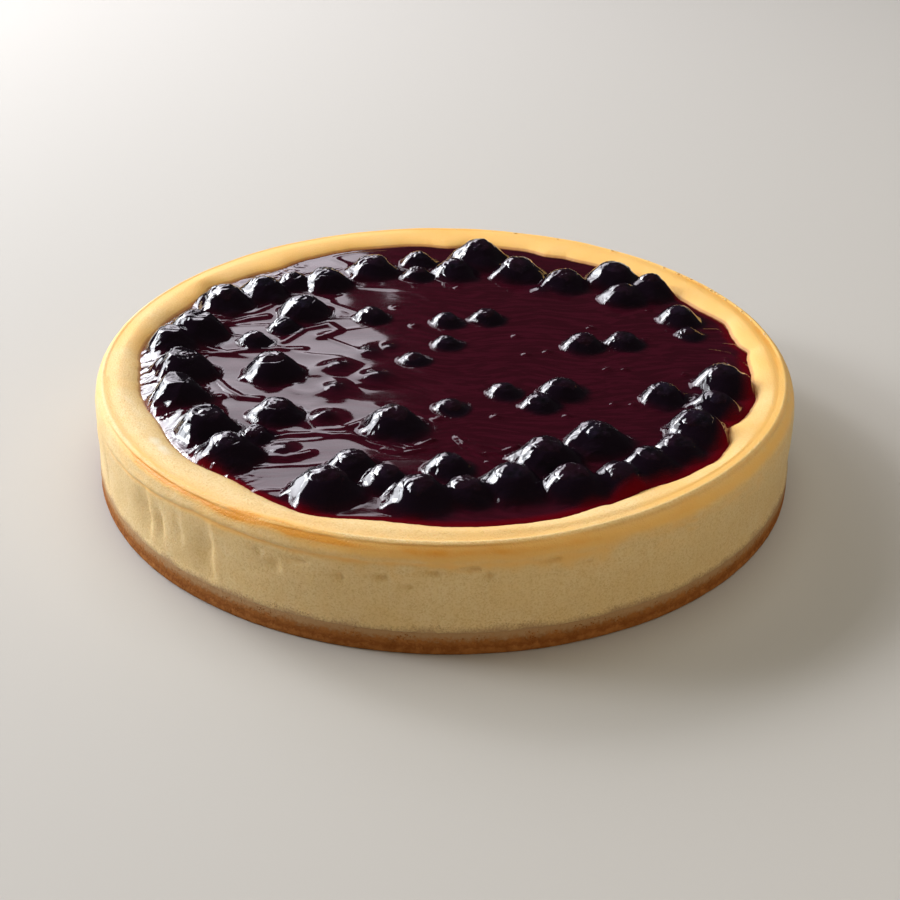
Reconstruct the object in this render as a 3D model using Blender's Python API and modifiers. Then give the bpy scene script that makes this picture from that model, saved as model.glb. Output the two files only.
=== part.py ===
"""A round baked cheesecake with a berry topping, cut as the baker makes it.

A thin pressed crumb base carries the baked cheese filling. The filling has a raised rim round a
shallow recess, the recess holds a level of berry glaze, and whole berries stand in the glaze.
Each is a closed solid of its own. Origin: centre of the underside. +Z is up, -Y is the front.
"""

import math
import random

import bmesh
import bpy
from mathutils import Matrix

MM = 0.001

# Turned pieces
TURN_STEPS = 96
MERGE_DISTANCE = 0.00002
GAP = 0.3 * MM

# Crumb base
BASE_RADIUS = 115.3 * MM
BASE_HEIGHT = 7.2 * MM
BASE_SEAM_HEIGHT = 3.6 * MM
BASE_SEAM_DEPTH = 0.7 * MM
BASE_EDGE_ROUND = 0.9 * MM
BASE_EDGE_STEP = 0.27 * MM

# Cheese filling
FILLING_RADIUS = 114.7 * MM
WIDEST_HEIGHT = 18.8 * MM
FOOT_RADIUS = 114.5 * MM
FOOT_ROUND = 1.0 * MM
UPPER_SIDE_RADIUS = 114.1 * MM
UPPER_SIDE_HEIGHT = 27.8 * MM
SHOULDER_RADIUS = 112.9 * MM
SHOULDER_HEIGHT = 32.8 * MM
LIP_RADIUS = 111.3 * MM
LIP_HEIGHT = 34.6 * MM
GROOVE_RADIUS = 109.3 * MM
GROOVE_HEIGHT = 34.2 * MM
CREST_RADIUS = 106.0 * MM
CREST_HEIGHT = 35.1 * MM
RIM_INNER_RADIUS = 102.6 * MM
RIM_INNER_HEIGHT = 34.2 * MM
SIDE_WAVE = 0.25 * MM
RIM_WAVE = 0.25 * MM

# Upright dents in the side, left of the front: direction and half width in degrees, depth
DENT_HEIGHT = 20.0 * MM
DENT_REACH = 10.0 * MM
SIDE_DENTS = (
    (218.5, 2.6, 0.8 * MM),
    (225.0, 2.6, 0.9 * MM),
    (233.0, 3.0, 0.9 * MM),
    (247.0, 3.0, 0.4 * MM),
)

# Recess in the filling and the glaze that fills it
GLAZE_LEVEL = 33.0 * MM
GLAZE_RADIUS = 100.0 * MM
FLOOR_HEIGHT = 28.2 * MM
FLOOR_RADIUS = 93.0 * MM
WALL_MIDDLE_RADIUS = 97.8 * MM
WALL_MIDDLE_HEIGHT = 29.9 * MM
OUTLINE_INNER_REACH = 60.0 * MM
GLAZE_INSET = 0.42 * MM

# The glaze reaches further towards the front, and has lobes where it ran out or drew back:
# direction in degrees, half width in degrees, reach
GLAZE_DRIFT = 1.8 * MM
GLAZE_DRIFT_DIRECTION = 285.0
GLAZE_LOBES = (
    (17.0, 5.0, 1.5 * MM),
    (67.0, 4.0, -1.5 * MM),
    (90.0, 7.0, -1.5 * MM),
    (130.0, 6.0, -2.0 * MM),
    (148.0, 5.0, 1.5 * MM),
    (249.0, 6.0, 1.8 * MM),
    (322.0, 6.0, 1.4 * MM),
    (332.0, 4.0, -2.8 * MM),
    (345.0, 5.0, 1.2 * MM),
)

# Berries
BERRY_BOTTOM = 29.4 * MM
BERRY_CLEARANCE = 0.35 * MM
BERRY_SPACING = 1.05 * MM
BERRY_DETAIL = 2
BERRY_EDGE_MARGIN = 1.5 * MM
SETTLE_ROUNDS = 60
SEED = 11

# Each berry: direction and distance from the middle of the cake, radius, rise above the glaze
BERRIES = (
    # Left edge, from the back to the front
    (143.0, 82.5 * MM, 6.5 * MM, 6.4 * MM),
    (153.0, 88.5 * MM, 7.2 * MM, 7.0 * MM),
    (170.0, 85.5 * MM, 6.6 * MM, 7.0 * MM),
    (176.5, 92.0 * MM, 5.4 * MM, 5.6 * MM),
    (188.5, 85.0 * MM, 6.6 * MM, 6.8 * MM),
    (200.5, 88.5 * MM, 6.4 * MM, 6.6 * MM),
    (215.5, 87.0 * MM, 6.8 * MM, 6.8 * MM),
    (226.0, 90.5 * MM, 6.5 * MM, 6.8 * MM),
    # Inside it
    (192.5, 57.5 * MM, 6.8 * MM, 6.8 * MM),
    (146.5, 60.5 * MM, 6.7 * MM, 6.4 * MM),
    (159.5, 60.0 * MM, 4.4 * MM, 3.6 * MM),
    (171.5, 65.5 * MM, 4.5 * MM, 3.8 * MM),
    (218.0, 65.5 * MM, 6.4 * MM, 5.2 * MM),
    (223.5, 78.0 * MM, 4.6 * MM, 3.2 * MM),
    # Back edge, from the left to the right
    (134.0, 80.0 * MM, 5.0 * MM, 4.6 * MM),
    (128.0, 74.0 * MM, 6.4 * MM, 6.2 * MM),
    (111.5, 76.5 * MM, 6.8 * MM, 6.4 * MM),
    (98.0, 81.0 * MM, 4.8 * MM, 4.4 * MM),
    (99.5, 68.0 * MM, 4.6 * MM, 3.6 * MM),
    (88.0, 70.5 * MM, 6.2 * MM, 5.6 * MM),
    (82.0, 85.0 * MM, 7.2 * MM, 8.0 * MM),
    (69.5, 75.0 * MM, 7.3 * MM, 6.6 * MM),
    (55.0, 75.0 * MM, 6.6 * MM, 6.0 * MM),
    (47.0, 90.5 * MM, 7.1 * MM, 7.2 * MM),
    (37.5, 83.5 * MM, 6.0 * MM, 5.6 * MM),
    (37.0, 95.0 * MM, 5.3 * MM, 7.4 * MM),
    # Right edge, from the back to the front
    (21.5, 87.5 * MM, 5.4 * MM, 5.2 * MM),
    (13.5, 85.5 * MM, 3.9 * MM, 2.6 * MM),
    (349.5, 90.5 * MM, 6.4 * MM, 7.2 * MM),
    (339.0, 90.0 * MM, 5.8 * MM, 5.6 * MM),
    (328.0, 89.5 * MM, 6.9 * MM, 7.0 * MM),
    (318.0, 90.5 * MM, 5.8 * MM, 5.2 * MM),
    (311.0, 90.0 * MM, 5.8 * MM, 5.6 * MM),
    (304.0, 90.5 * MM, 6.3 * MM, 5.8 * MM),
    (296.0, 88.0 * MM, 6.6 * MM, 6.6 * MM),
    # Front edge, from the right to the left
    (282.5, 82.5 * MM, 7.0 * MM, 6.6 * MM),
    (273.5, 84.5 * MM, 5.8 * MM, 5.4 * MM),
    (266.5, 85.5 * MM, 6.6 * MM, 7.0 * MM),
    (258.5, 80.5 * MM, 5.3 * MM, 5.0 * MM),
    (251.0, 77.5 * MM, 5.9 * MM, 5.6 * MM),
    (248.5, 89.0 * MM, 7.0 * MM, 7.2 * MM),
    # Second row of the front and the right
    (251.5, 49.0 * MM, 6.8 * MM, 6.6 * MM),
    (271.0, 71.0 * MM, 5.2 * MM, 4.8 * MM),
    (294.5, 72.0 * MM, 7.0 * MM, 7.2 * MM),
    (309.5, 71.0 * MM, 6.8 * MM, 6.6 * MM),
    (339.5, 73.5 * MM, 5.7 * MM, 4.8 * MM),
    # Middle
    (12.5, 47.5 * MM, 5.6 * MM, 4.4 * MM),
    (12.0, 61.5 * MM, 5.4 * MM, 3.8 * MM),
    (90.0, 27.5 * MM, 4.5 * MM, 3.4 * MM),
    (65.5, 33.5 * MM, 4.9 * MM, 3.8 * MM),
    (89.5, 10.0 * MM, 4.2 * MM, 2.8 * MM),
    (131.5, 40.0 * MM, 5.0 * MM, 3.8 * MM),
    (327.5, 43.5 * MM, 5.5 * MM, 4.8 * MM),
    (313.0, 43.5 * MM, 4.8 * MM, 3.8 * MM),
    (307.5, 30.5 * MM, 4.6 * MM, 3.2 * MM),
    (272.5, 34.5 * MM, 4.5 * MM, 2.6 * MM),
    (192.0, 11.0 * MM, 4.1 * MM, 2.4 * MM),
)

# Edges sharper than this many degrees stay sharp
TURNED_SHARP = 40.0
BERRY_SHARP = 60.0
GLAZE_SHARP = 30.0

# Colour as red, green and blue, then roughness
CRUMB_COLOUR = (0.36, 0.17, 0.06)
CRUMB_ROUGHNESS = 0.85
FILLING_COLOUR = (0.86, 0.66, 0.34)
FILLING_ROUGHNESS = 0.55
GLAZE_COLOUR = (0.07, 0.003, 0.012)
GLAZE_ROUGHNESS = 0.08
BERRY_COLOUR = (0.012, 0.006, 0.016)
BERRY_ROUGHNESS = 0.15


def clear_scene():
    for obj in list(bpy.data.objects):
        bpy.data.objects.remove(obj, do_unlink=True)


def new_collection(name):
    collection = bpy.data.collections.new(name)
    bpy.context.scene.collection.children.link(collection)
    return collection


def material(name, colour, roughness):
    made = bpy.data.materials.new(name)
    made.use_nodes = True
    shader = made.node_tree.nodes["Principled BSDF"]
    shader.inputs["Base Color"].default_value = (*colour, 1.0)
    shader.inputs["Roughness"].default_value = roughness
    shader.inputs["Metallic"].default_value = 0.0
    return made


def glaze_reach(angle):
    """How far the glaze's edge lies beyond its mean radius in this direction, in metres."""
    reach = GLAZE_DRIFT * math.cos(angle - math.radians(GLAZE_DRIFT_DIRECTION))
    for direction, half_width, height in GLAZE_LOBES:
        away = (math.degrees(angle) - direction + 180.0) % 360.0 - 180.0
        reach += height * math.exp(-((away / half_width) ** 2))
    return reach


def outline_share(radius):
    """Share of the outline's reach that a point at this radius takes: none far in or on the side."""
    if radius <= GLAZE_RADIUS:
        share = (radius - OUTLINE_INNER_REACH) / (GLAZE_RADIUS - OUTLINE_INNER_REACH)
    else:
        share = (GROOVE_RADIUS - radius) / (GROOVE_RADIUS - GLAZE_RADIUS)
    share = min(1.0, max(0.0, share))
    return share * share * (3.0 - 2.0 * share)


def wave(angle):
    """A slow unevenness round the cake, from -1 to 1."""
    return (
        0.5 * math.sin(3.0 * angle + 0.7)
        + 0.3 * math.sin(5.0 * angle + 2.1)
        + 0.2 * math.sin(9.0 * angle + 4.0)
    )


def turned(name, profile, collection):
    """A closed mesh object from a profile of radius and height, top axis to bottom axis."""
    mesh = bpy.data.meshes.new(name + "_profile")
    points = [(radius, 0.0, height) for radius, height in profile]
    edges = [(i, i + 1) for i in range(len(points) - 1)]
    mesh.from_pydata(points, edges, [])
    outline = bpy.data.objects.new(name + "_profile", mesh)
    collection.objects.link(outline)
    screw = outline.modifiers.new("Turn", "SCREW")
    screw.axis = "Z"
    screw.steps = TURN_STEPS
    screw.render_steps = TURN_STEPS
    screw.use_merge_vertices = True
    screw.merge_threshold = MERGE_DISTANCE
    graph = bpy.context.evaluated_depsgraph_get()
    solid = bpy.data.meshes.new_from_object(outline.evaluated_get(graph))
    bpy.data.objects.remove(outline, do_unlink=True)
    made = bpy.data.objects.new(name, solid)
    solid.name = name
    collection.objects.link(made)
    return made


def shade(obj, finish, sharp_degrees=TURNED_SHARP):
    obj.data.materials.clear()
    obj.data.materials.append(finish)
    obj.data.shade_smooth()
    obj.data.set_sharp_from_angle(angle=math.radians(sharp_degrees))


def follow_glaze_outline(obj):
    """Moves the pieces' points in or out so that recess and glaze share one uneven outline."""
    for vertex in obj.data.vertices:
        radius = math.hypot(vertex.co.x, vertex.co.y)
        if radius < OUTLINE_INNER_REACH or vertex.co.z < FLOOR_HEIGHT - GAP:
            continue
        angle = math.atan2(vertex.co.y, vertex.co.x)
        grown = 1.0 + glaze_reach(angle) * outline_share(radius) / radius
        vertex.co.x *= grown
        vertex.co.y *= grown


def make_base(collection, finish):
    """The pressed crumb base: a disc whose edge shows a seam halfway up."""
    profile = (
        (0.0, BASE_HEIGHT),
        (BASE_RADIUS - BASE_EDGE_ROUND, BASE_HEIGHT),
        (BASE_RADIUS - BASE_EDGE_STEP, BASE_HEIGHT - BASE_EDGE_ROUND),
        (BASE_RADIUS - BASE_SEAM_DEPTH, BASE_SEAM_HEIGHT),
        (BASE_RADIUS, BASE_SEAM_HEIGHT - BASE_EDGE_ROUND),
        (BASE_RADIUS, BASE_EDGE_ROUND),
        (BASE_RADIUS - BASE_EDGE_ROUND, 0.0),
        (0.0, 0.0),
    )
    shade(turned("crumb_base", profile, collection), finish)


def wall_profile(inset, lift):
    """The recess's wall from its top edge to its floor, moved in and up by a clearance."""
    return (
        (GLAZE_RADIUS - inset, GLAZE_LEVEL),
        (WALL_MIDDLE_RADIUS - inset, WALL_MIDDLE_HEIGHT + lift),
        (FLOOR_RADIUS - inset, FLOOR_HEIGHT + lift),
    )


def dent_depth(angle, height):
    """How deep the side is dented at this direction and height, in metres."""
    depth = 0.0
    for direction, half_width, deepest in SIDE_DENTS:
        away = (math.degrees(angle) - direction + 180.0) % 360.0 - 180.0
        depth += deepest * math.exp(-((away / half_width) ** 2))
    return depth * math.exp(-(((height - DENT_HEIGHT) / DENT_REACH) ** 2))


def make_filling(collection, finish):
    """The baked filling: rounded side, thin lip, rim, and the recess inside the rim."""
    foot = BASE_HEIGHT + GAP
    inside = tuple(reversed(wall_profile(0.0, 0.0)))
    rim = (
        (RIM_INNER_RADIUS, RIM_INNER_HEIGHT),
        (CREST_RADIUS, CREST_HEIGHT),
        (GROOVE_RADIUS, GROOVE_HEIGHT),
        (LIP_RADIUS, LIP_HEIGHT),
    )
    side = (
        (SHOULDER_RADIUS, SHOULDER_HEIGHT),
        (UPPER_SIDE_RADIUS, UPPER_SIDE_HEIGHT),
        (FILLING_RADIUS, WIDEST_HEIGHT),
        (FOOT_RADIUS, foot + FOOT_ROUND),
        (FILLING_RADIUS - FOOT_ROUND, foot),
    )
    profile = ((0.0, FLOOR_HEIGHT), *inside, *rim, *side, (0.0, foot))
    filling = turned("cheese_filling", profile, collection)
    follow_glaze_outline(filling)
    for vertex in filling.data.vertices:
        radius = math.hypot(vertex.co.x, vertex.co.y)
        angle = math.atan2(vertex.co.y, vertex.co.x)
        if vertex.co.z > GLAZE_LEVEL + GAP:
            vertex.co.z += RIM_WAVE * wave(angle)
        elif radius > SHOULDER_RADIUS and vertex.co.z > foot + GAP:
            inwards = SIDE_WAVE * (1.0 - wave(2.0 * angle)) + dent_depth(angle, vertex.co.z)
            grown = 1.0 - inwards / radius
            vertex.co.x *= grown
            vertex.co.y *= grown
    shade(filling, finish)


def push_apart(a, b):
    """Moves two berries away from each other where their glaze sockets would meet."""
    near = math.hypot(b[0] - a[0], b[1] - a[1])
    short = a[2] + b[2] + BERRY_SPACING - near
    if short > 0.0:
        step_x = (b[0] - a[0]) / near * short / 2.0
        step_y = (b[1] - a[1]) / near * short / 2.0
        a[0] -= step_x
        a[1] -= step_y
        b[0] += step_x
        b[1] += step_y


def keep_inside(spot):
    """Draws a berry back from the recess's wall."""
    distance = math.hypot(spot[0], spot[1])
    edge = GLAZE_RADIUS + glaze_reach(math.atan2(spot[1], spot[0]))
    most = edge - spot[2] - BERRY_EDGE_MARGIN
    if distance > most:
        spot[0] *= most / distance
        spot[1] *= most / distance


def settled_spots():
    """The berries as [x, y, radius, rise] after they have made room for each other."""
    spots = []
    for direction, distance, radius, rise in BERRIES:
        angle = math.radians(direction)
        spots.append([distance * math.cos(angle), distance * math.sin(angle), radius, rise])
    for _ in range(SETTLE_ROUNDS):
        for i, a in enumerate(spots):
            for b in spots[i + 1 :]:
                push_apart(a, b)
        for spot in spots:
            keep_inside(spot)
    return spots


def berry_object(name, spot, turn, grown, collection):
    """A squashed ball near the recess's floor, its mesh turned so that no two look alike."""
    x, y, radius, rise = spot
    half_height = (GLAZE_LEVEL + rise - BERRY_BOTTOM) / 2.0
    mesh = bpy.data.meshes.new(name)
    shape = bmesh.new()
    bmesh.ops.create_icosphere(shape, subdivisions=BERRY_DETAIL, radius=1.0, matrix=turn)
    size = (radius + grown, radius + grown, half_height + grown)
    bmesh.ops.scale(shape, vec=size, verts=shape.verts)
    shape.to_mesh(mesh)
    shape.free()
    made = bpy.data.objects.new(name, mesh)
    made.location = (x, y, BERRY_BOTTOM + half_height)
    collection.objects.link(made)
    return made


def make_berries(parts, cutters, finish):
    """The berries, and for each one the cutter of its socket in the glaze."""
    rng = random.Random(SEED)
    for number, spot in enumerate(settled_spots(), start=1):
        turn = Matrix.Rotation(rng.uniform(0.0, math.tau), 4, "Z") @ Matrix.Rotation(
            rng.uniform(0.0, math.pi), 4, "X"
        )
        berry = berry_object(f"berry_{number:02d}", spot, turn, 0.0, parts)
        shade(berry, finish, BERRY_SHARP)
        socket = berry_object(f"socket_{number:02d}", spot, turn, BERRY_CLEARANCE, cutters)
        socket.hide_render = True
        socket.display_type = "WIRE"


def make_glaze(collection, cutters, finish):
    """The glaze: it fills the recess up to its level, and each berry stands in a socket in it."""
    profile = (
        (0.0, GLAZE_LEVEL),
        *wall_profile(GLAZE_INSET, GAP),
        (0.0, FLOOR_HEIGHT + GAP),
    )
    glaze = turned("berry_glaze", profile, collection)
    follow_glaze_outline(glaze)
    cut = glaze.modifiers.new("Sockets", "BOOLEAN")
    cut.operation = "DIFFERENCE"
    cut.operand_type = "COLLECTION"
    cut.collection = cutters
    cut.solver = "EXACT"
    shade(glaze, finish, GLAZE_SHARP)


def main():
    clear_scene()
    cake = new_collection("cheesecake")
    cutters = new_collection("cutters")
    make_base(cake, material("crumb", CRUMB_COLOUR, CRUMB_ROUGHNESS))
    make_filling(cake, material("cheese", FILLING_COLOUR, FILLING_ROUGHNESS))
    make_berries(cake, cutters, material("berry_skin", BERRY_COLOUR, BERRY_ROUGHNESS))
    make_glaze(cake, cutters, material("glaze", GLAZE_COLOUR, GLAZE_ROUGHNESS))


main()
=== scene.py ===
"""The looks of a baked cheesecake with a berry topping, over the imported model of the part."""

import logging
import math
import random
from dataclasses import dataclass, field
from enum import Enum
from typing import Any, Callable, Sequence

import bmesh
import bpy
import numpy as np
from mathutils import Matrix, Vector, noise


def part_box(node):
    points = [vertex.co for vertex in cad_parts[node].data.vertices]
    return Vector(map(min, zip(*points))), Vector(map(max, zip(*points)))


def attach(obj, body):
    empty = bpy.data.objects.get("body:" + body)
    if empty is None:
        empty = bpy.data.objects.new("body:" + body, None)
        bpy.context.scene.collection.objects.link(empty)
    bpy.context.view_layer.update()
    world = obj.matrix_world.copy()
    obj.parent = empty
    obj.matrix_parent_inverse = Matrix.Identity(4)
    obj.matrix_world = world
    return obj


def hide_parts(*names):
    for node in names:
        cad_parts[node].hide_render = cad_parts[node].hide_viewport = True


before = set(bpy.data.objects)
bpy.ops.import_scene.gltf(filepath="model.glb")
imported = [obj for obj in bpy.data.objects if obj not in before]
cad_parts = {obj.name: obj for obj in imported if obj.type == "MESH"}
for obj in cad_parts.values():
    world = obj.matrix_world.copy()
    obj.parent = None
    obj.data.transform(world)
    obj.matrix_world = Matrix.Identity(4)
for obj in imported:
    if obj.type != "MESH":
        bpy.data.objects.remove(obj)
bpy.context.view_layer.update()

LOG = logging.getLogger("cheesecake")
Array = np.ndarray
Colour = tuple[float, float, float, float]
Pair = tuple[float, float]
Keys = tuple[Pair, ...]
MM = 0.001
BODY = "root"
BERRY = "berry_"
SEED = 5

# Points closer than this, in metres, are joined.
WELD = 2e-6
# Each finer layer of noise is this much lower and this much finer than the one before.
NOISE_FALLOFF = 0.7
NOISE_FINENESS = 2.1
# Filling and base are plain discs out to this radius.
PLAIN = 60.0 * MM
# How far below pale the browning goes where window light is painted on the rim as a paler, cooler tone.
PALEST_PAINTED_LIGHT = -0.3


class Slot(Enum):
    """The record's material slots."""

    CRUMB = "crumb"
    CHEESE = "cheese"
    GLAZE = "glaze"
    BERRY = "berry_skin"


class Tint(Enum):
    """Point attributes that carry colour over a mesh."""

    # Browning, also carrying painted window light, a painted lip highlight and painted shade under the fold.
    BROWNING_AND_PAINTED_LIGHT = "browned"
    STAINED = "stained"
    THIN = "thin"
    # Near black where berries show through the glaze, plus painted shade beside them.
    BERRY_DARK_AND_SHADE = "berry_dark_and_shade"
    CRINKLED = "crinkled"
    # Painted shade inside the dents in the side.
    DENT_SHADE = "creased"


def smooth(share: Array) -> Array:
    """Returns shares from 0 to 1 eased at both ends."""
    share = np.clip(share, 0.0, 1.0)
    return share * share * (3.0 - 2.0 * share)


def bell(offset: Array, width: Array | float) -> Array:
    """Returns a bell curve's heights at the offsets, 1 in its middle."""
    return np.exp(-((offset / width) ** 2))


def turn_gap(turn: Array, direction: float) -> Array:
    """Returns how far turns lie from a direction, in degrees from -180 to 180."""
    return (turn - direction + 180.0) % 360.0 - 180.0


def along(keys: Keys, at: Array) -> Array:
    """Reads values between keys of (place, value)."""
    places, values = zip(*keys)
    return np.interp(at, places, values)


@dataclass
class Spots:
    """Points of a shape in metres, with their distance from the middle and their turn from +X in degrees."""

    x: Array
    y: Array
    height: Array
    radius: Array = field(init=False)
    turn: Array = field(init=False)

    def __post_init__(self) -> None:
        """Works out the radius and the turn."""
        self.radius = np.hypot(self.x, self.y)
        self.turn = np.degrees(np.arctan2(self.y, self.x)) % 360.0


@dataclass(frozen=True)
class Lumps:
    """A layer of smooth noise.

    It has a height, the size of its largest lumps in metres, a pattern number, a number of layers and a scale
    along X, Y and Z. Without a pattern number it changes with height too.
    """

    height: float
    size: float
    pattern: float | None = None
    octaves: int = 2
    scale: tuple[float, float, float] = (1.0, 1.0, 1.0)

    def at(self, x: Array, y: Array, z: Array | float) -> Array:
        """Gives the noise at many points.

        Args:
            x: Metres.
            y: Metres.
            z: Metres, or the number of a pattern.

        Returns:
            Up to about its height, or less than 0, for each point.
        """
        points = np.stack(np.broadcast_arrays(x, y, z), axis=-1).reshape(-1, 3) * self.scale / self.size
        layers = (NOISE_FALLOFF, NOISE_FINENESS, self.octaves)
        return self.height * np.array([noise.fractal(point, *layers) for point in points.tolist()])

    def over(self, spots: Spots) -> Array:
        """Returns the noise at the spots."""
        return self.at(spots.x, spots.y, spots.height if self.pattern is None else self.pattern)


@dataclass(frozen=True)
class Band:
    """A bell-shaped band: its strength, middle and half width."""

    strength: float
    middle: float
    half_width: float

    def at(self, place: Array) -> Array:
        """Returns the strength at these places."""
        return self.strength * bell(place - self.middle, self.half_width)

    def around(self, turn: Array) -> Array:
        """Returns the strength at these turns in degrees."""
        return self.strength * bell(turn_gap(turn, self.middle), self.half_width)


@dataclass(frozen=True)
class Ease:
    """A soft step from 0 to 1: where it starts and how far on it ends, less than 0 for back."""

    start: float
    length: float

    def at(self, place: Array) -> Array:
        """Returns the share at these places."""
        return smooth((place - self.start) / self.length)


def points_of(bm: bmesh.types.BMesh) -> Array:
    """Returns the shape's points, one row each."""
    return np.array([vert.co for vert in bm.verts])


def move_points(bm: bmesh.types.BMesh, places: Array, tints: dict[Tint, Array] | None = None) -> None:
    """Puts the shape's points at new places and writes their tints.

    Args:
        bm: The shape.
        places: One row for each point.
        tints: Point attributes and their value at each point.
    """
    floats = bm.verts.layers.float
    layers = [(floats.new(tint.value), values.tolist()) for tint, values in (tints or {}).items()]
    for number, (vert, place) in enumerate(zip(bm.verts, places.tolist())):
        vert.co = place
        for layer, values in layers:
            vert[layer] = values[number]


def finished(bm: bmesh.types.BMesh, name: str, finish: bpy.types.Material) -> bpy.types.Object:
    """Makes a piece of the cake from a bmesh.

    Args:
        bm: The shape, in metres, in its place. It is freed.
        name: The piece's name.
        finish: Its material.

    Returns:
        The object, riding on the cake's body.
    """
    bmesh.ops.recalc_face_normals(bm, faces=bm.faces)
    mesh = bpy.data.meshes.new(name)
    bm.to_mesh(mesh)
    bm.free()
    mesh.materials.append(finish)
    mesh.shade_smooth()
    piece = bpy.data.objects.new(name, mesh)
    bpy.context.scene.collection.objects.link(piece)
    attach(piece, BODY)
    LOG.info("%s: %d faces", name, len(mesh.polygons))
    return piece


def spun(profile: Sequence[Pair], steps: int = 720, sectors: int = 10) -> bmesh.types.BMesh:
    """Turns a profile once round the Z axis, one sector by spinning and the others as its turned copies.

    Args:
        profile: Radius and height of each point, from the axis on top to the axis below.
        steps: How many steps a full turn has, a multiple of the sectors.
        sectors: How many sectors there are.

    Returns:
        The closed shape.
    """
    bm = bmesh.new()
    points = [bm.verts.new((radius, 0.0, height)) for radius, height in profile]
    edges = [bm.edges.new(pair) for pair in zip(points, points[1:])]
    wedge = math.tau / sectors
    about = {"cent": (0, 0, 0), "axis": (0, 0, 1)}
    bmesh.ops.spin(bm, geom=points + edges, angle=wedge, steps=steps // sectors, use_merge=False, **about)
    first = [*bm.verts, *bm.edges, *bm.faces]
    for number in range(1, sectors):
        copy = bmesh.ops.duplicate(bm, geom=first)["geom"]
        moved = [part for part in copy if isinstance(part, bmesh.types.BMVert)]
        bmesh.ops.rotate(bm, cent=(0, 0, 0), matrix=Matrix.Rotation(number * wedge, 3, "Z"), verts=moved)
    bmesh.ops.remove_doubles(bm, verts=bm.verts, dist=WELD)
    return bm


def rounded(keys: Keys, spacing: float = 0.4 * MM) -> list[Pair]:
    """Draws a smooth curve through key points.

    Args:
        keys: Radius and height of each key.
        spacing: Distance between the points of the curve.

    Returns:
        The curve's points.
    """
    curve: list[Pair] = []
    for i in range(len(keys) - 1):
        near = (keys[max(0, i - 1)], keys[i], keys[i + 1], keys[min(len(keys) - 1, i + 2)])
        count = max(1, round(math.dist(keys[i], keys[i + 1]) / spacing))
        for step in range(count):
            t = step / count
            ends = (-t + 2 * t * t - t**3, t**3 - t * t)
            weights = (ends[0], 2 - 5 * t * t + 3 * t**3, t + 4 * t * t - 3 * t**3, ends[1])
            curve.append(tuple(sum(w * key[axis] for w, key in zip(weights, near)) / 2 for axis in (0, 1)))
    curve.append(keys[-1])
    return curve


@dataclass
class Graph:
    """A node tree with short calls to add and join nodes."""

    tree: bpy.types.NodeTree

    def feed(self, node: bpy.types.Node, values: dict[Any, Any]) -> bpy.types.Node:
        """Sets a node's inputs.

        Args:
            node: The node.
            values: Input name or number to a value, or to an output socket to join to it.

        Returns:
            The node.
        """
        for key, value in values.items():
            if isinstance(value, bpy.types.NodeSocket):
                self.tree.links.new(value, node.inputs[key])
            else:
                node.inputs[key].default_value = value
        return node

    def add(self, kind: str, values: dict[Any, Any] | None = None, **settings: Any) -> bpy.types.Node:
        """Adds a node.

        Args:
            kind: The node's type without its ShaderNode prefix.
            values: What its inputs get, as for feed.
            settings: The node's own settings.

        Returns:
            The node.
        """
        node = self.tree.nodes.new("ShaderNode" + kind)
        for key, value in settings.items():
            setattr(node, key, value)
        return self.feed(node, values or {})

    def math(self, operation: str, *values: Any) -> bpy.types.NodeSocket:
        """Adds a Math node and returns its output."""
        return self.add("Math", dict(enumerate(values)), operation=operation).outputs[0]

    def mix(self, share: Any, low: Any, high: Any) -> bpy.types.NodeSocket:
        """Mixes two colours, which are the node's inputs 6 and 7, and returns its colour output."""
        return self.add("Mix", {0: share, 6: low, 7: high}, data_type="RGBA").outputs[2]

    def layered(self, colour: Any, layers: Sequence[tuple[Any, Any]]) -> bpy.types.NodeSocket:
        """Lays colours over one another.

        Args:
            colour: The lowest colour.
            layers: Share and colour of each layer above it.

        Returns:
            The resulting colour.
        """
        for share, above in layers:
            colour = self.mix(share, colour, above)
        return colour

    def ramp(self, value: Any, low: float, high: float, to_low: float = 0.0, to_high: float = 1.0) -> Any:
        """Maps a value's range onto another, eased at both ends.

        Args:
            value: The value.
            low: Where its range starts.
            high: Where its range ends.
            to_low: What it becomes at the start.
            to_high: What it becomes at the end.

        Returns:
            The resulting value.
        """
        ends = {0: value, 1: low, 2: high, 3: to_low, 4: to_high}
        return self.add("MapRange", ends, interpolation_type="SMOOTHSTEP").outputs[0]

    def attribute(self, tint: Tint) -> bpy.types.NodeSocket:
        """Reads one of the mesh's point attributes."""
        return self.add("Attribute", attribute_name=tint.value).outputs["Fac"]

    def place(self) -> bpy.types.NodeSocket:
        """Returns the object's own coordinates."""
        return self.add("TexCoord").outputs["Object"]

    def group(self, effect: bpy.types.NodeTree, place: Any, size: float, **values: float) -> bpy.types.Node:
        """Adds an effect's group with its place, its size and its own values."""
        return self.add("Group", {"Place": place, "Size": size, **values}, node_tree=effect)

    def ragged_height(self, patches: Any, grain: Any, waver: float, specks: float) -> bpy.types.NodeSocket:
        """Works out the height above the table, made uneven for a ragged border.

        Args:
            patches: A mask of soft patches.
            grain: The height of a fine grain.
            waver: How far the patches shift it, in metres.
            specks: How far the grain shifts it, in metres.

        Returns:
            The uneven height.
        """
        ragged = self.add("SeparateXYZ", {0: self.place()}).outputs[2]
        for mask, middle, shift in ((patches, 0.5, waver), (grain, 0.4, specks)):
            off = self.math("MULTIPLY", self.math("SUBTRACT", mask, middle), shift)
            ragged = self.math("ADD", ragged, off)
        return ragged


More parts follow.
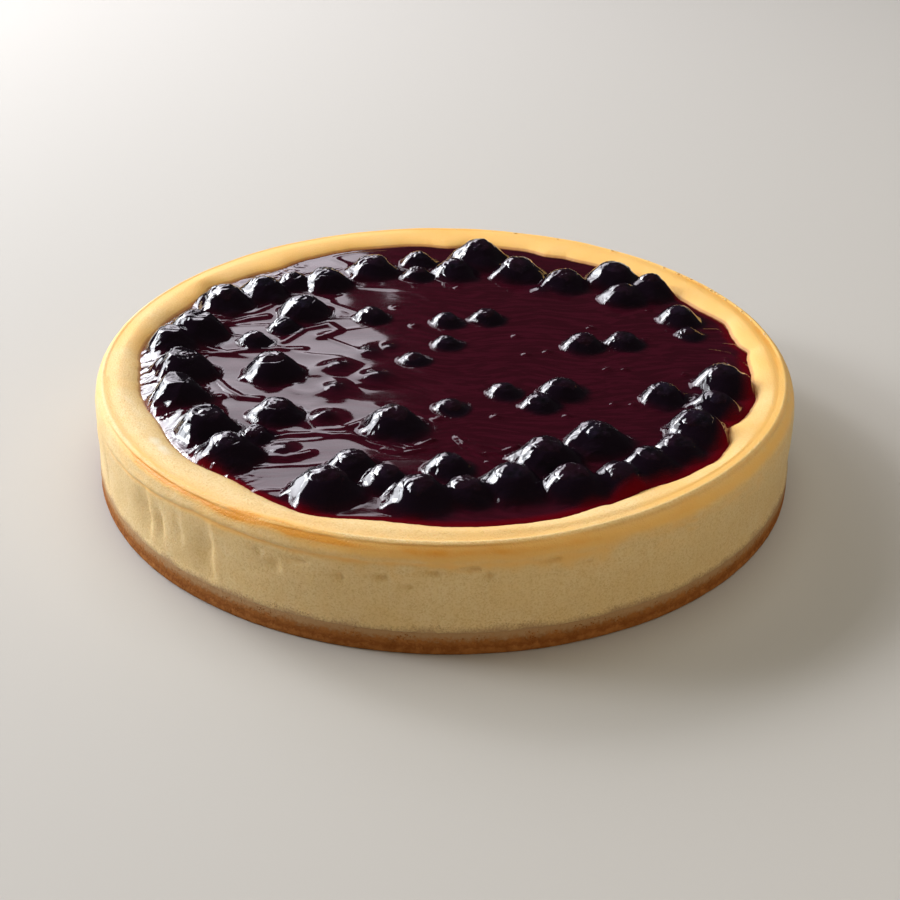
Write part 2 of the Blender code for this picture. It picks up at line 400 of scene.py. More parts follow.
def effect_group(
    name: str, inputs: Sequence[tuple[str, str, float]], outputs: Sequence[str], build: Callable
) -> bpy.types.NodeTree:
    """Builds a node group that several materials share.

    Args:
        name: The group's name.
        inputs: Name, socket type without its prefix, and default of each input.
        outputs: Name of each output, all of them values.
        build: Called with the graph and the inputs' sockets, it returns the outputs' sockets.

    Returns:
        The group's tree.
    """
    tree = bpy.data.node_groups.new(name, "ShaderNodeTree")
    for label, kind, default in inputs:
        socket = tree.interface.new_socket(label, in_out="INPUT", socket_type="NodeSocket" + kind)
        if kind == "Float":
            socket.default_value = default
    for label in outputs:
        tree.interface.new_socket(label, in_out="OUTPUT", socket_type="NodeSocketFloat")
    graph = Graph(tree)
    entry = tree.nodes.new("NodeGroupInput")
    leave = tree.nodes.new("NodeGroupOutput")
    results = build(graph, {label: entry.outputs[label] for label, _, _ in inputs})
    for label, result in zip(outputs, results):
        tree.links.new(result, leave.inputs[label])
    return tree


@dataclass
class Effects:
    """The effects that more than one material uses, each built once, and the ranges inside them."""

    hole_range: Pair = (0.05, 0.4)
    hole_spread: float = 0.23
    hole_spread_range: Pair = (0.45, 0.65)
    sway_scale: float = 28.0
    sway: tuple[float, float, float] = (22.0 * MM, 22.0 * MM, 0.0)
    film_fading: float = 0.08
    film_fading_range: Pair = (0.35, 0.6)
    fold_width: float = 0.3
    mottle: bpy.types.NodeTree = field(init=False)
    pores: bpy.types.NodeTree = field(init=False)
    film: bpy.types.NodeTree = field(init=False)
    crinkle: bpy.types.NodeTree = field(init=False)

    def __post_init__(self) -> None:
        """Builds the groups."""
        both = [("Place", "Vector", 0.0), ("Size", "Float", MM)]
        patchy, holed, drawn = ("Sharpness", "Float", 0.5), ("Holes", "Float", 0.8), ("Stretch", "Float", 1.0)
        self.mottle = effect_group("Mottle", [*both, patchy], ["Mask"], self.build_mottle)
        self.pores = effect_group("Pores", [*both, holed], ["Height", "Mask"], self.build_pores)
        self.film = effect_group("Wet film", [*both, drawn], ["Height", "Mask"], self.build_film)
        self.crinkle = effect_group("Crinkle", both, ["Height"], self.build_crinkle)

    def build_mottle(self, graph: Graph, given: dict[str, Any]) -> list[Any]:
        """Soft uneven patches.

        Args:
            graph: The group's graph.
            given: Place, Size and Sharpness.

        Returns:
            The mask, 0 to 1.
        """
        scale = graph.math("DIVIDE", 1.0, given["Size"])
        patch = {"Vector": given["Place"], "Scale": scale, "Detail": 4.0, "Roughness": 0.55}
        half = graph.math("MULTIPLY", given["Sharpness"], 0.5)
        ends = (graph.math("SUBTRACT", 0.5, half), graph.math("ADD", 0.5, half))
        return [graph.ramp(graph.add("TexNoise", patch).outputs["Fac"], *ends)]

    def build_pores(self, graph: Graph, given: dict[str, Any]) -> list[Any]:
        """A fine crumb with small holes.

        Args:
            graph: The group's graph.
            given: Place, Size and Holes.

        Returns:
            The height, 0 to 1, and a mask of the holes.
        """
        scale = graph.math("DIVIDE", 1.0, given["Size"])
        cells = graph.add("TexVoronoi", {"Vector": given["Place"], "Scale": scale})
        grain = graph.add("TexNoise", {"Vector": given["Place"], "Scale": scale, "Detail": 3.0})
        wide = graph.math("MULTIPLY", scale, self.hole_spread)
        spread = graph.add("TexNoise", {"Vector": given["Place"], "Scale": wide, "Detail": 2.0})
        hole = graph.ramp(cells.outputs["Distance"], *self.hole_range, 1.0, 0.0)
        here = graph.ramp(spread.outputs["Fac"], *self.hole_spread_range)
        mask = graph.math("MULTIPLY", hole, graph.math("MULTIPLY", here, given["Holes"]))
        height = graph.math("SUBTRACT", grain.outputs["Fac"], mask)
        return [height, mask]

    def build_film(self, graph: Graph, given: dict[str, Any]) -> list[Any]:
        """Fine flow lines in a wet film.

        Args:
            graph: The group's graph.
            given: Place, Size and Stretch.

        Returns:
            The height and a mask of the lines.
        """
        squeeze = graph.add("CombineXYZ", {0: graph.math("DIVIDE", 1.0, given["Stretch"]), 1: 1.0, 2: 1.0})
        sway = graph.add("TexNoise", {"Vector": given["Place"], "Scale": self.sway_scale, "Detail": 1.0})
        swayed = {0: sway.outputs["Color"], 1: self.sway, 2: given["Place"]}
        bent = graph.add("VectorMath", swayed, operation="MULTIPLY_ADD")
        place = graph.add("VectorMath", {0: bent.outputs[0], 1: squeeze.outputs[0]}, operation="MULTIPLY")
        scale = graph.math("DIVIDE", 1.0, given["Size"])
        fine = {"Scale": scale, "Detail": 3.0, "Roughness": 0.5, "Distortion": 0.6}
        lines = graph.add("TexNoise", {"Vector": place.outputs[0], **fine})
        wide = graph.math("MULTIPLY", scale, self.film_fading)
        fade = graph.add("TexNoise", {"Vector": given["Place"], "Scale": wide, "Detail": 1.0})
        shown = graph.ramp(fade.outputs["Fac"], *self.film_fading_range)
        return [graph.math("MULTIPLY", lines.outputs["Fac"], shown), lines.outputs["Fac"]]

    def build_crinkle(self, graph: Graph, given: dict[str, Any]) -> list[Any]:
        """Sharp-crested folds of a shrunk skin.

        Args:
            graph: The group's graph.
            given: Place and Size.

        Returns:
            The height, 0 to 1.
        """
        scale = graph.math("DIVIDE", 1.0, given["Size"])
        soft = {"Vector": given["Place"], "Scale": scale, "Detail": 1.0, "Roughness": 0.35, "Distortion": 0.8}
        swell = graph.add("TexNoise", soft).outputs["Fac"]
        off = graph.math("ABSOLUTE", graph.math("SUBTRACT", swell, 0.5))
        return [graph.ramp(off, 0.0, self.fold_width, 1.0, 0.0)]


def new_material(name: str) -> tuple[bpy.types.Material, Graph, bpy.types.Node]:
    """Starts a material.

    Args:
        name: Its name.

    Returns:
        The material, its graph and its Principled shader.
    """
    made = bpy.data.materials.new(name)
    made.use_nodes = True
    return made, Graph(made.node_tree), made.node_tree.nodes["Principled BSDF"]


@dataclass(frozen=True)
class CheeseFinish:
    """Baked filling: pale porous side, golden rim, browned lip, tinged where base and glaze touch it; painted
    light and shade.
    """

    pale: Colour = (0.88, 0.68, 0.37, 1.0)
    deep: Colour = (0.82, 0.57, 0.24, 1.0)
    holed: Colour = (0.70, 0.46, 0.18, 1.0)
    golden: Colour = (0.92, 0.54, 0.16, 1.0)
    browned: Colour = (0.88, 0.36, 0.035, 1.0)
    # A paler, cooler tone that paints the window light onto the left of the rim.
    painted_window_light: Colour = (0.90, 0.82, 0.64, 1.0)
    foot: Colour = (0.47, 0.28, 0.135, 1.0)
    stain: Colour = (0.30, 0.05, 0.03, 1.0)
    # Painted shade inside the dents in the side.
    dent_shade: Colour = (0.54, 0.31, 0.08, 1.0)
    foot_range: Pair = (6.8 * MM, 10.0 * MM)
    foot_waver: float = 1.6 * MM
    foot_specks: float = 2.8 * MM
    patch_size: float = 9.0 * MM
    patch_share: float = 0.55
    broad_size: float = 30.0 * MM
    broad_browning: Pair = (0.85, 1.1)
    upright_size: float = 2.2 * MM
    upright_squeeze: tuple[float, float, float] = (1.0, 1.0, 0.12)
    upright_share: float = 0.4
    pore_size: float = 0.6 * MM
    pore_range: Pair = (0.62, 0.20)
    pore_share: float = 0.8
    roughness: float = 0.62
    baked_gloss: float = 0.22

    def build(self, effects: Effects) -> bpy.types.Material:
        """Makes the material.

        Args:
            effects: The shared node groups.

        Returns:
            The material.
        """
        made, graph, shader = new_material("baked_cheese")
        place = graph.place()
        patches = graph.group(effects.mottle, place, self.patch_size, Sharpness=0.5).outputs[0]
        broad = graph.group(effects.mottle, place, self.broad_size, Sharpness=0.4).outputs[0]
        drawn = graph.add("VectorMath", {0: place, 1: self.upright_squeeze}, operation="MULTIPLY").outputs[0]
        upright = graph.group(effects.mottle, drawn, self.upright_size, Sharpness=0.5).outputs[0]
        fine = graph.group(effects.pores, place, self.pore_size, Holes=0.8).outputs["Height"]
        ragged = graph.ragged_height(patches, fine, self.foot_waver, self.foot_specks)
        # Browning from the mesh, which also carries painted light and shade.
        baked = graph.ramp(broad, 0.0, 1.0, *self.broad_browning)
        baked = graph.math("MULTIPLY", graph.attribute(Tint.BROWNING_AND_PAINTED_LIGHT), baked)
        layers = (
            (graph.math("MULTIPLY", patches, self.patch_share), self.deep),
            (graph.math("MULTIPLY", upright, self.upright_share), self.deep),
            (graph.ramp(fine, *self.pore_range, 0.0, self.pore_share), self.holed),
            (graph.ramp(ragged, *self.foot_range, 1.0, 0.0), self.foot),
            (graph.ramp(baked, 0.0, PALEST_PAINTED_LIGHT), self.painted_window_light),
            (graph.ramp(baked, 0.0, 0.5), self.golden),
            (graph.ramp(baked, 0.5, 1.0), self.browned),
            (graph.attribute(Tint.DENT_SHADE), self.dent_shade),
            (graph.attribute(Tint.STAINED), self.stain),
        )
        smoother = graph.math("MULTIPLY", baked, self.baked_gloss)
        looks = {
            "Base Color": graph.layered(self.pale, layers),
            "Roughness": graph.math("SUBTRACT", self.roughness, smoother),
            "Normal": graph.add("Bump", {"Height": fine, "Strength": 0.55, "Distance": 0.3 * MM}).outputs[0],
            "Specular IOR Level": 0.35,
            "Subsurface Weight": 0.15,
            "Subsurface Radius": (4.0 * MM, 2.2 * MM, 0.9 * MM),
            "Subsurface Scale": 1.0,
        }
        graph.feed(shader, looks)
        return made


@dataclass(frozen=True)
class CrumbFinish:
    """Pressed biscuit crumb: brown grains, a dark seam halfway up and a paler bottom lip."""

    light: Colour = (0.44, 0.17, 0.045, 1.0)
    dark: Colour = (0.28, 0.095, 0.020, 1.0)
    seam: Colour = (0.20, 0.05, 0.010, 1.0)
    top: Colour = (0.47, 0.28, 0.135, 1.0)
    top_range: Pair = (4.2 * MM, 7.0 * MM)
    seam_height: float = 2.9 * MM
    seam_width: float = 1.0 * MM
    seam_share: float = 0.5
    hole_share: float = 0.5
    waver: float = 1.2 * MM
    specks: float = 3.0 * MM
    grain_size: float = 0.9 * MM
    patch_size: float = 2.4 * MM

    def build(self, effects: Effects) -> bpy.types.Material:
        """Makes the material.

        Args:
            effects: The shared node groups.

        Returns:
            The material.
        """
        made, graph, shader = new_material("pressed_crumb")
        place = graph.place()
        grain = graph.group(effects.pores, place, self.grain_size, Holes=0.8)
        rough, holes = grain.outputs["Height"], grain.outputs["Mask"]
        patches = graph.group(effects.mottle, place, self.patch_size, Sharpness=0.5).outputs[0]
        ragged = graph.ragged_height(patches, rough, self.waver, self.specks)
        off = graph.math("ABSOLUTE", graph.math("SUBTRACT", ragged, self.seam_height))
        layers = (
            (patches, self.dark),
            (graph.ramp(off, 0.0, self.seam_width, self.seam_share, 0.0), self.seam),
            (graph.math("MULTIPLY", holes, self.hole_share), self.dark),
            (graph.ramp(ragged, *self.top_range), self.top),
        )
        looks = {
            "Base Color": graph.layered(self.light, layers),
            "Roughness": 0.8,
            "Specular IOR Level": 0.08,
            "Normal": graph.add("Bump", {"Height": rough, "Strength": 0.7, "Distance": 0.5 * MM}).outputs[0],
        }
        graph.feed(shader, looks)
        return made


@dataclass(frozen=True)
class GlazeFinish:
    """Wet berry glaze: deep wine red, bright red where it thins out, black where berries show through, plus
    painted shade.
    """

    deep: Colour = (0.027, 0.0024, 0.0062, 1.0)
    streak: Colour = (0.050, 0.0040, 0.0115, 1.0)
    thin: Colour = (0.115, 0.0006, 0.004, 1.0)
    # Near black over the berries, also painted shade on their side away from the lights.
    berry_dark_and_shade: Colour = (0.006, 0.0025, 0.006, 1.0)
    line_size: float = 1.6 * MM
    line_range: Pair = (0.42, 0.62)
    line_share: float = 0.55
    line_height: float = 0.35
    wave_size: float = 4.0 * MM
    stretch: float = 5.0
    coat_range: Pair = (0.2, 1.0)
    coat: float = 0.75
    crinkle_size: float = 5.5 * MM

    def build(self, effects: Effects) -> bpy.types.Material:
        """Makes the material.

        Args:
            effects: The shared node groups.

        Returns:
            The material.
        """
        made, graph, shader = new_material("wet_glaze")
        place = graph.place()
        berry_dark_and_shade, crinkled = graph.attribute(Tint.BERRY_DARK_AND_SHADE), graph.attribute(Tint.CRINKLED)
        flow = graph.group(effects.film, place, self.line_size, Stretch=self.stretch)
        waves = graph.group(effects.film, place, self.wave_size, Stretch=self.stretch)
        lines = graph.ramp(flow.outputs["Mask"], *self.line_range)
        layers = (
            (graph.math("MULTIPLY", lines, self.line_share), self.streak),
            (berry_dark_and_shade, self.berry_dark_and_shade),
            (graph.attribute(Tint.THIN), self.thin),
        )
        coated = graph.math("MAXIMUM", berry_dark_and_shade, graph.math("MULTIPLY", crinkled, 2.0))
        height = graph.math("MULTIPLY", flow.outputs["Height"], self.line_height)
        height = graph.math("ADD", height, waves.outputs["Height"])
        bump = graph.add("Bump", {"Height": height, "Strength": 0.18, "Distance": 0.35 * MM}).outputs[0]
        crinkle = graph.group(effects.crinkle, place, self.crinkle_size).outputs["Height"]
        creased = {"Height": graph.math("MULTIPLY", crinkle, crinkled), "Strength": 1.0, "Distance": 0.6 * MM}
        looks = {
            "Base Color": graph.layered(self.deep, layers),
            "Roughness": 0.07,
            "IOR": 1.42,
            "Coat Weight": graph.ramp(coated, *self.coat_range, 0.0, self.coat),
            "Coat Roughness": 0.06,
            "Normal": graph.add("Bump", {**creased, "Normal": bump}).outputs[0],
        }
        graph.feed(shader, looks)
        return made


@dataclass(frozen=True)
class BerryFinish:
    """Cooked berry skin, near black with a blue bloom, under a wet coat."""

    dark: Colour = (0.004, 0.003, 0.005, 1.0)
    bloom: Colour = (0.012, 0.008, 0.018, 1.0)
    wine: Colour = (0.018, 0.003, 0.007, 1.0)
    bloom_size: float = 3.0 * MM
    wine_size: float = 12.0 * MM
    wine_share: float = 0.6
    film_size: float = 1.1 * MM
    film_stretch: float = 1.6
    crinkle_size: float = 5.5 * MM

    def build(self, effects: Effects) -> bpy.types.Material:
        """Makes the material.

        Args:
            effects: The shared node groups.

        Returns:
            The material.
        """
        made, graph, shader = new_material("berry_skin")
        place = graph.place()
        patches = graph.group(effects.mottle, place, self.bloom_size, Sharpness=0.3).outputs[0]
        broad = graph.group(effects.mottle, place, self.wine_size, Sharpness=0.3).outputs[0]
        film = graph.group(effects.film, place, self.film_size, Stretch=self.film_stretch).outputs["Height"]
        crinkle = graph.group(effects.crinkle, place, self.crinkle_size).outputs["Height"]
        layers = ((patches, self.bloom), (graph.math("MULTIPLY", broad, self.wine_share), self.wine))
        bump = graph.add("Bump", {"Height": film, "Strength": 0.4, "Distance": 0.3 * MM}).outputs[0]
        creased = {"Height": crinkle, "Strength": 1.0, "Distance": 0.2 * MM, "Normal": bump}
        looks = {
            "Base Color": graph.layered(self.dark, layers),
            "Roughness": 0.12,
            "Coat Weight": 0.9,
            "Coat Roughness": 0.05,
            "Normal": graph.add("Bump", creased).outputs[0],
        }
        graph.feed(shader, looks)
        return made


@dataclass(frozen=True)
class FloorFinish:
    """A plain pale floor."""

    colour: Colour = (0.52, 0.50, 0.47, 1.0)
    roughness: float = 0.9

    def build(self) -> bpy.types.Material:
        """Makes the material.

        Returns:
            The material.
        """
        made, graph, shader = new_material("pale_floor")
        graph.feed(shader, {"Base Color": self.colour, "Roughness": self.roughness})
        return made


@dataclass
class GlazeOutline:
    """The uneven edge that the glaze and the recess in the filling share."""

    radius: float = 100.0 * MM
    drift: float = 1.8 * MM
    drift_direction: float = 285.0
    wobble: Lumps = Lumps(0.3 * MM, 0.045, 0.3, 3)
    lobes: tuple[tuple[float, float, float], ...] = (
        (4.0, 2.5, 1.6 * MM), (17.0, 4.0, 2.3 * MM), (30.0, 7.0, -1.0 * MM), (59.0, 6.0, -1.4 * MM),
        (67.0, 2.5, -2.2 * MM), (90.5, 4.5, -2.6 * MM), (113.0, 6.0, 1.0 * MM), (131.5, 4.5, -2.1 * MM),
        (148.0, 4.0, 3.0 * MM), (165.0, 5.0, 1.0 * MM), (177.0, 8.0, 2.2 * MM), (208.0, 7.0, -1.7 * MM),
        (232.0, 6.0, -2.0 * MM), (249.0, 5.5, 1.8 * MM), (262.0, 7.0, -1.3 * MM), (295.0, 3.0, -0.7 * MM),
        (300.0, 9.0, -1.2 * MM), (306.0, 4.5, -1.4 * MM), (322.0, 5.0, 1.4 * MM), (332.5, 3.6, -2.9 * MM),
        (345.0, 3.5, 1.2 * MM),
    )
    turns: Array = field(init=False)
    reaches: Array = field(init=False)

    def __post_init__(self) -> None:
        """Works out the reach at half degrees."""
        self.turns = np.arange(0.0, 360.0, 0.5)
        around = np.radians(self.turns)
        out = self.drift * np.cos(around - math.radians(self.drift_direction))
        for direction, half_width, height in self.lobes:
            out += height * bell(turn_gap(self.turns, direction), half_width)
        self.reaches = out + self.wobble.over(Spots(np.cos(around), np.sin(around), np.zeros_like(around)))

    def reach(self, turn: Array) -> Array:
        """Returns how far the edge lies beyond the mean radius at these turns in degrees."""
        return np.interp(turn, self.turns, self.reaches, period=360.0)

    def edge(self, turn: Array) -> Array:
        """Returns the edge's distance from the middle at these turns in degrees."""
        return self.radius + self.reach(turn)


@dataclass
class Filling:
    """The baked filling with its folded lip, rim and recess.

    Keys are a turn in degrees or a radius, and the value there. A dent is a turn and half width in degrees, a
    depth, the height of its middle, and how far it reaches up and down.
    """

    outline: GlazeOutline
    foot: float = 7.35 * MM
    recess: float = 29.0 * MM
    rim_keys: Keys = (
        (96.0 * MM, 29.2 * MM), (98.2 * MM, 31.2 * MM), (100.0 * MM, 33.0 * MM), (102.6 * MM, 34.3 * MM),
        (106.0 * MM, 35.0 * MM), (109.2 * MM, 34.65 * MM), (110.4 * MM, 34.52 * MM),
        (111.1 * MM, 34.7 * MM), (111.8 * MM, 34.35 * MM), (112.8 * MM, 33.55 * MM),
        (113.7 * MM, 32.2 * MM), (114.3 * MM, 29.8 * MM), (114.6 * MM, 26.0 * MM), (114.7 * MM, 20.0 * MM),
        (114.7 * MM, 12.0 * MM), (114.8 * MM, 8.4 * MM), (114.85 * MM, 7.5 * MM), (114.85 * MM, 7.37 * MM),
        (114.7 * MM, 7.35 * MM), (114.2 * MM, 7.35 * MM),
    )
    rim_end: float = 112.3 * MM
    rim_foot: float = 28.0 * MM
    rim_swell: Lumps = Lumps(0.15 * MM, 0.02, 4.0)
    rim_swell_start: Ease = Ease(100.0 * MM, 3.0 * MM)
    outline_start: Ease = Ease(PLAIN, 40.0 * MM)
    outline_end: Ease = Ease(0.0, 9.3 * MM)
    side_start: float = 110.0 * MM
    side_inset: float = 0.3 * MM
    side_swell: Lumps = Lumps(0.28 * MM, 0.03, scale=(1.0, 1.0, 2.0))
    side_grain: Lumps = Lumps(0.10 * MM, 0.006, octaves=3, scale=(1.0, 1.0, 0.6))
    side_foot: Ease = Ease(7.6 * MM, 2.0 * MM)
    dents: tuple[tuple[float, float, float, float, float], ...] = (
        (221.3, 2.6, 1.1 * MM, 19.0 * MM, 7.0 * MM), (225.0, 1.4, 0.8 * MM, 19.0 * MM, 4.5 * MM),
        (229.5, 1.2, 0.5 * MM, 22.0 * MM, 4.0 * MM), (235.3, 3.2, 1.1 * MM, 18.0 * MM, 8.0 * MM),
        (246.8, 1.8, 0.7 * MM, 22.0 * MM, 2.0 * MM), (244.4, 1.0, 0.5 * MM, 25.0 * MM, 1.5 * MM),
        (251.0, 2.4, 0.5 * MM, 25.5 * MM, 0.9 * MM), (256.5, 1.6, 0.6 * MM, 23.0 * MM, 1.3 * MM),
        (262.7, 2.0, 0.8 * MM, 24.5 * MM, 1.1 * MM), (266.0, 1.6, 0.6 * MM, 22.0 * MM, 0.8 * MM),
        (269.4, 2.0, 0.7 * MM, 26.6 * MM, 0.8 * MM), (274.7, 2.2, 0.8 * MM, 28.0 * MM, 0.7 * MM),
        (276.6, 1.3, 0.9 * MM, 25.4 * MM, 1.3 * MM), (286.0, 2.0, 0.7 * MM, 28.6 * MM, 0.7 * MM),
        (290.5, 1.2, 0.5 * MM, 26.2 * MM, 0.6 * MM), (205.0, 1.3, 0.7 * MM, 17.0 * MM, 7.0 * MM),
        (197.0, 1.6, 0.5 * MM, 20.0 * MM, 6.0 * MM), (112.0, 1.4, 0.7 * MM, 18.0 * MM, 8.0 * MM),
        (63.0, 1.6, 0.6 * MM, 22.0 * MM, 6.0 * MM),
    )
    dent_depth: float = 1.2
    dent_sharp_side: float = 0.16
    dent_stray: Lumps = Lumps(0.6, 0.01, scale=(0.4, 0.4, 1.0))
    fold_heights: Keys = (
        (200.0, 27.6 * MM), (221.0, 27.9 * MM), (233.0, 29.4 * MM), (249.0, 28.6 * MM), (264.0, 29.2 * MM),
    )
    fold_strengths: Keys = (
        (0.0, 0.12), (200.0, 0.1), (214.0, 0.8), (244.0, 1.0), (262.0, 0.5), (290.0, 0.12),
    )
    fold_wave: Lumps = Lumps(0.35 * MM, 0.012, 0.2)
    fold_fading: Lumps = Lumps(0.3, 0.02, 0.5)
    fold_roll: Band = Band(0.45 * MM, 1.3 * MM, 1.1 * MM)
    fold_groove: Band = Band(0.38 * MM, -0.2 * MM, 0.7 * MM)
    # Painted shade: a darker band just under the fold's roll.
    fold_painted_shade: Band = Band(0.30, -0.3 * MM, 0.7 * MM)
    # Where, and how strongly, shade is painted into the dents.
    dent_shade_start: float = 113.0 * MM
    dent_shade_strengths: Keys = ((0.0, 0.1), (242.0, 0.1), (254.0, 0.5), (300.0, 0.4))
    # Browning across the rim by radius; the low value at 111.2 mm leaves a pale stripe on the lip's crest,
    # partly pale crust, partly painted highlight.
    rim_browning_and_highlight: Keys = (
        (97.0 * MM, 0.36), (101.5 * MM, 0.26), (105.0 * MM, 0.22), (109.0 * MM, 0.30), (110.4 * MM, 0.34),
        (111.2 * MM, 0.10), (112.2 * MM, 0.30),
    )
    rim_mottle: Lumps = Lumps(0.10, 0.02, 1.0, 3)
    all_round: float = 0.05
    far_side: float = 0.12
    far_direction: float = 80.0
    far_glow: Band = Band(0.11, 85.0, 42.0)
    # Where the rim is painted paler and cooler: painted window light on its left.
    painted_light_turns: Band = Band(0.30, 213.0, 27.0)
    painted_light_ring: Band = Band(1.0, 104.2 * MM, 3.6 * MM)
    painted_light_mottle: Lumps = Lumps(0.7, 0.012, 2.0, 3)
    right_start: Ease = Ease(292.0, 20.0)
    right_end: Ease = Ease(50.0, -20.0)
    right_browning: float = 0.06
    right_ring: Band = Band(0.22, 109.2 * MM, 1.6 * MM)
    streak_strengths: Keys = (
        (0.0, 0.25), (180.0, 0.12), (208.0, 0.15), (217.0, 0.85), (228.0, 1.0), (243.0, 0.95), (253.0, 0.7),
        (262.0, 0.05), (300.0, 0.0), (360.0, 0.1),
    )
    streak_mottle: Lumps = Lumps(0.6, 0.018, 3.0, 3)
    streak_wave: Lumps = Lumps(0.9 * MM, 0.016, 6.0)
    streak_least: float = 0.4
    streak_on_top: Band = Band(1.1, 111.7 * MM, 0.8 * MM)
    streak_on_side: Band = Band(1.0, 33.4 * MM, 0.9 * MM)
    glow_strengths: Keys = (
        (0.0, 0.12), (180.0, 0.10), (215.0, 0.10), (250.0, 0.26), (264.0, 0.40), (292.0, 0.30),
        (320.0, 0.18), (360.0, 0.12),
    )
    glow_fraying: Lumps = Lumps(3.0 * MM, 0.008, octaves=3)
    glow_start: Ease = Ease(23.0 * MM, 10.0 * MM)
    lip_glow: Band = Band(0.28, 32.4 * MM, 1.2 * MM)
    lip_glow_start: Ease = Ease(246.0, 12.0)
    blotches: Lumps = Lumps(2.0, 0.009, octaves=3, scale=(0.7, 0.7, 1.6))
    blotch_browning: float = 0.10
    blotch_start: Ease = Ease(16.0 * MM, 9.0 * MM)
    top_end: Ease = Ease(112.6 * MM, -0.8 * MM)
    stain_share: float = 0.5
    stain_end: Ease = Ease(0.1 * MM, 0.6 * MM)
    lip_foot: float = 22.0 * MM
    lip_start: Ease = Ease(105.0 * MM, 5.0 * MM)
    lip_end: Ease = Ease(112.4 * MM, 2.2 * MM)
    lip_insets: Keys = (
        (0.0, 0.2 * MM), (35.0, 0.0), (246.0, 0.0), (256.0, 0.1 * MM), (276.0, 0.2 * MM), (296.0, 0.9 * MM),
        (312.0, 1.6 * MM), (326.0, 1.5 * MM), (340.0, 0.9 * MM), (360.0, 0.2 * MM),
    )
    lip_rises: Keys = (
        (0.0, 0.05 * MM), (30.0, 0.0), (285.0, 0.0), (312.0, 0.35 * MM), (335.0, 0.45 * MM),
        (360.0, 0.05 * MM),
    )
    groove: Band = Band(0.2 * MM, 110.3 * MM, 0.7 * MM)
    groove_start: Ease = Ease(258.0, -8.0)
    groove_end: Ease = Ease(278.0, 12.0)
    groove_turns_from: float = 190.0

    def fold(self, spots: Spots) -> tuple[Array, Array]:
        """The fold under the lip.

        Args:
            spots: Points of the filling.

        Returns:
            How high it runs in metres, and how strong it is from 0 to 1.
        """
        height = along(self.fold_heights, spots.turn) + self.fold_wave.over(spots)
        strength = along(self.fold_strengths, spots.turn) * (1.0 + self.fold_fading.over(spots))
        return height, np.clip(strength, 0.0, 1.0)

    def pushed(self, spots: Spots) -> Array:
        """How far the side is pushed out.

        Args:
            spots: Points of the filling.

        Returns:
            Metres, less than 0 for in.
        """
        line, strength = self.fold(spots)
        above = spots.height - line
        out = self.side_swell.over(spots) - self.side_inset + self.side_grain.over(spots)
        out += strength * (self.fold_roll.at(above) - self.fold_groove.at(above)) - self.dented(spots)
        return out * self.side_foot.at(spots.height)

    def dented(self, spots: Spots) -> Array:
        """How deep the dents in the side are, each with a soft left edge and a sharp right one.

        Args:
            spots: Points of the filling.

        Returns:
            Metres.
        """
        deep = np.zeros(len(spots.x))
        stray = spots.turn + self.dent_stray.over(spots)
        for direction, half_width, depth, middle, reach in self.dents:
            gap = turn_gap(stray, direction)
            across = bell(gap, np.where(gap > 0.0, self.dent_sharp_side, 1.0) * half_width)
            deep += self.dent_depth * depth * across * bell(spots.height - middle, reach)
        return deep

    def rim_baked(self, spots: Spots, streak: Array, wave: Array) -> Array:
        """How browned the rim's top is, with painted window light on its left and a painted highlight along
        the lip.

        Args:
            spots: Points of the filling, before the outline moved them.
            streak: How strong the browned streak is.
            wave: How far it strays, in metres.

        Returns:
            Less than 0 for painted window light, 0 for pale, 0.5 for golden, 1 for brown.
        """
        top = along(self.rim_browning_and_highlight, spots.radius) + self.rim_mottle.over(spots) + self.all_round
        top += self.far_side * np.cos(np.radians(spots.turn - self.far_direction))
        top += self.far_glow.around(spots.turn)
        # Painted light: a paler, cooler patch on the left of the rim where the window light falls.
        painted_window_light = self.painted_light_turns.around(spots.turn) * self.painted_light_ring.at(spots.radius)
        top -= painted_window_light * (1.0 + self.painted_light_mottle.over(spots))
        right = self.right_start.at(spots.turn) + self.right_end.at(spots.turn)
        top += right * (self.right_browning + self.right_ring.at(spots.radius))
        return top + np.maximum(streak - self.streak_least, 0.0) * self.streak_on_top.at(spots.radius - wave)

    def side_baked(self, spots: Spots, streak: Array, wave: Array) -> Array:
        """How browned the side is, with painted shade under the fold.

        Args:
            spots: Points of the filling.
            streak: How strong the browned streak is.
            wave: How far it strays, in metres.

        Returns:
            0 for pale, 0.5 for golden, 1 for brown.
        """
        height, turn = spots.height, spots.turn
        line, strength = self.fold(spots)
        blotches = self.blotch_browning * smooth(self.blotches.over(spots))
        side = streak * self.streak_on_side.at(height + wave)
        # Painted shade under the fold's roll.
        side += strength * self.fold_painted_shade.at(height - line)
        side += along(self.glow_strengths, turn) * self.glow_start.at(height + self.glow_fraying.over(spots))
        side += self.lip_glow.at(height) * self.lip_glow_start.at(turn)
        return side + blotches * self.blotch_start.at(height)

    def baked(self, spots: Spots) -> Array:
        """How browned the filling is, with painted light and shade mixed in.

        Args:
            spots: Points of the filling, before the outline moved them.

        Returns:
            Less than 0 for painted window light, 0 for pale, 0.5 for golden, 1 for brown.
        """
        streak = along(self.streak_strengths, spots.turn) * (1.0 + self.streak_mottle.over(spots))
        wave = self.streak_wave.over(spots)
        top, side = self.rim_baked(spots, streak, wave), self.side_baked(spots, streak, wave)
        on_top = self.top_end.at(spots.radius)
        return np.clip(top * on_top + side * (1.0 - on_top), PALEST_PAINTED_LIGHT, 1.0)

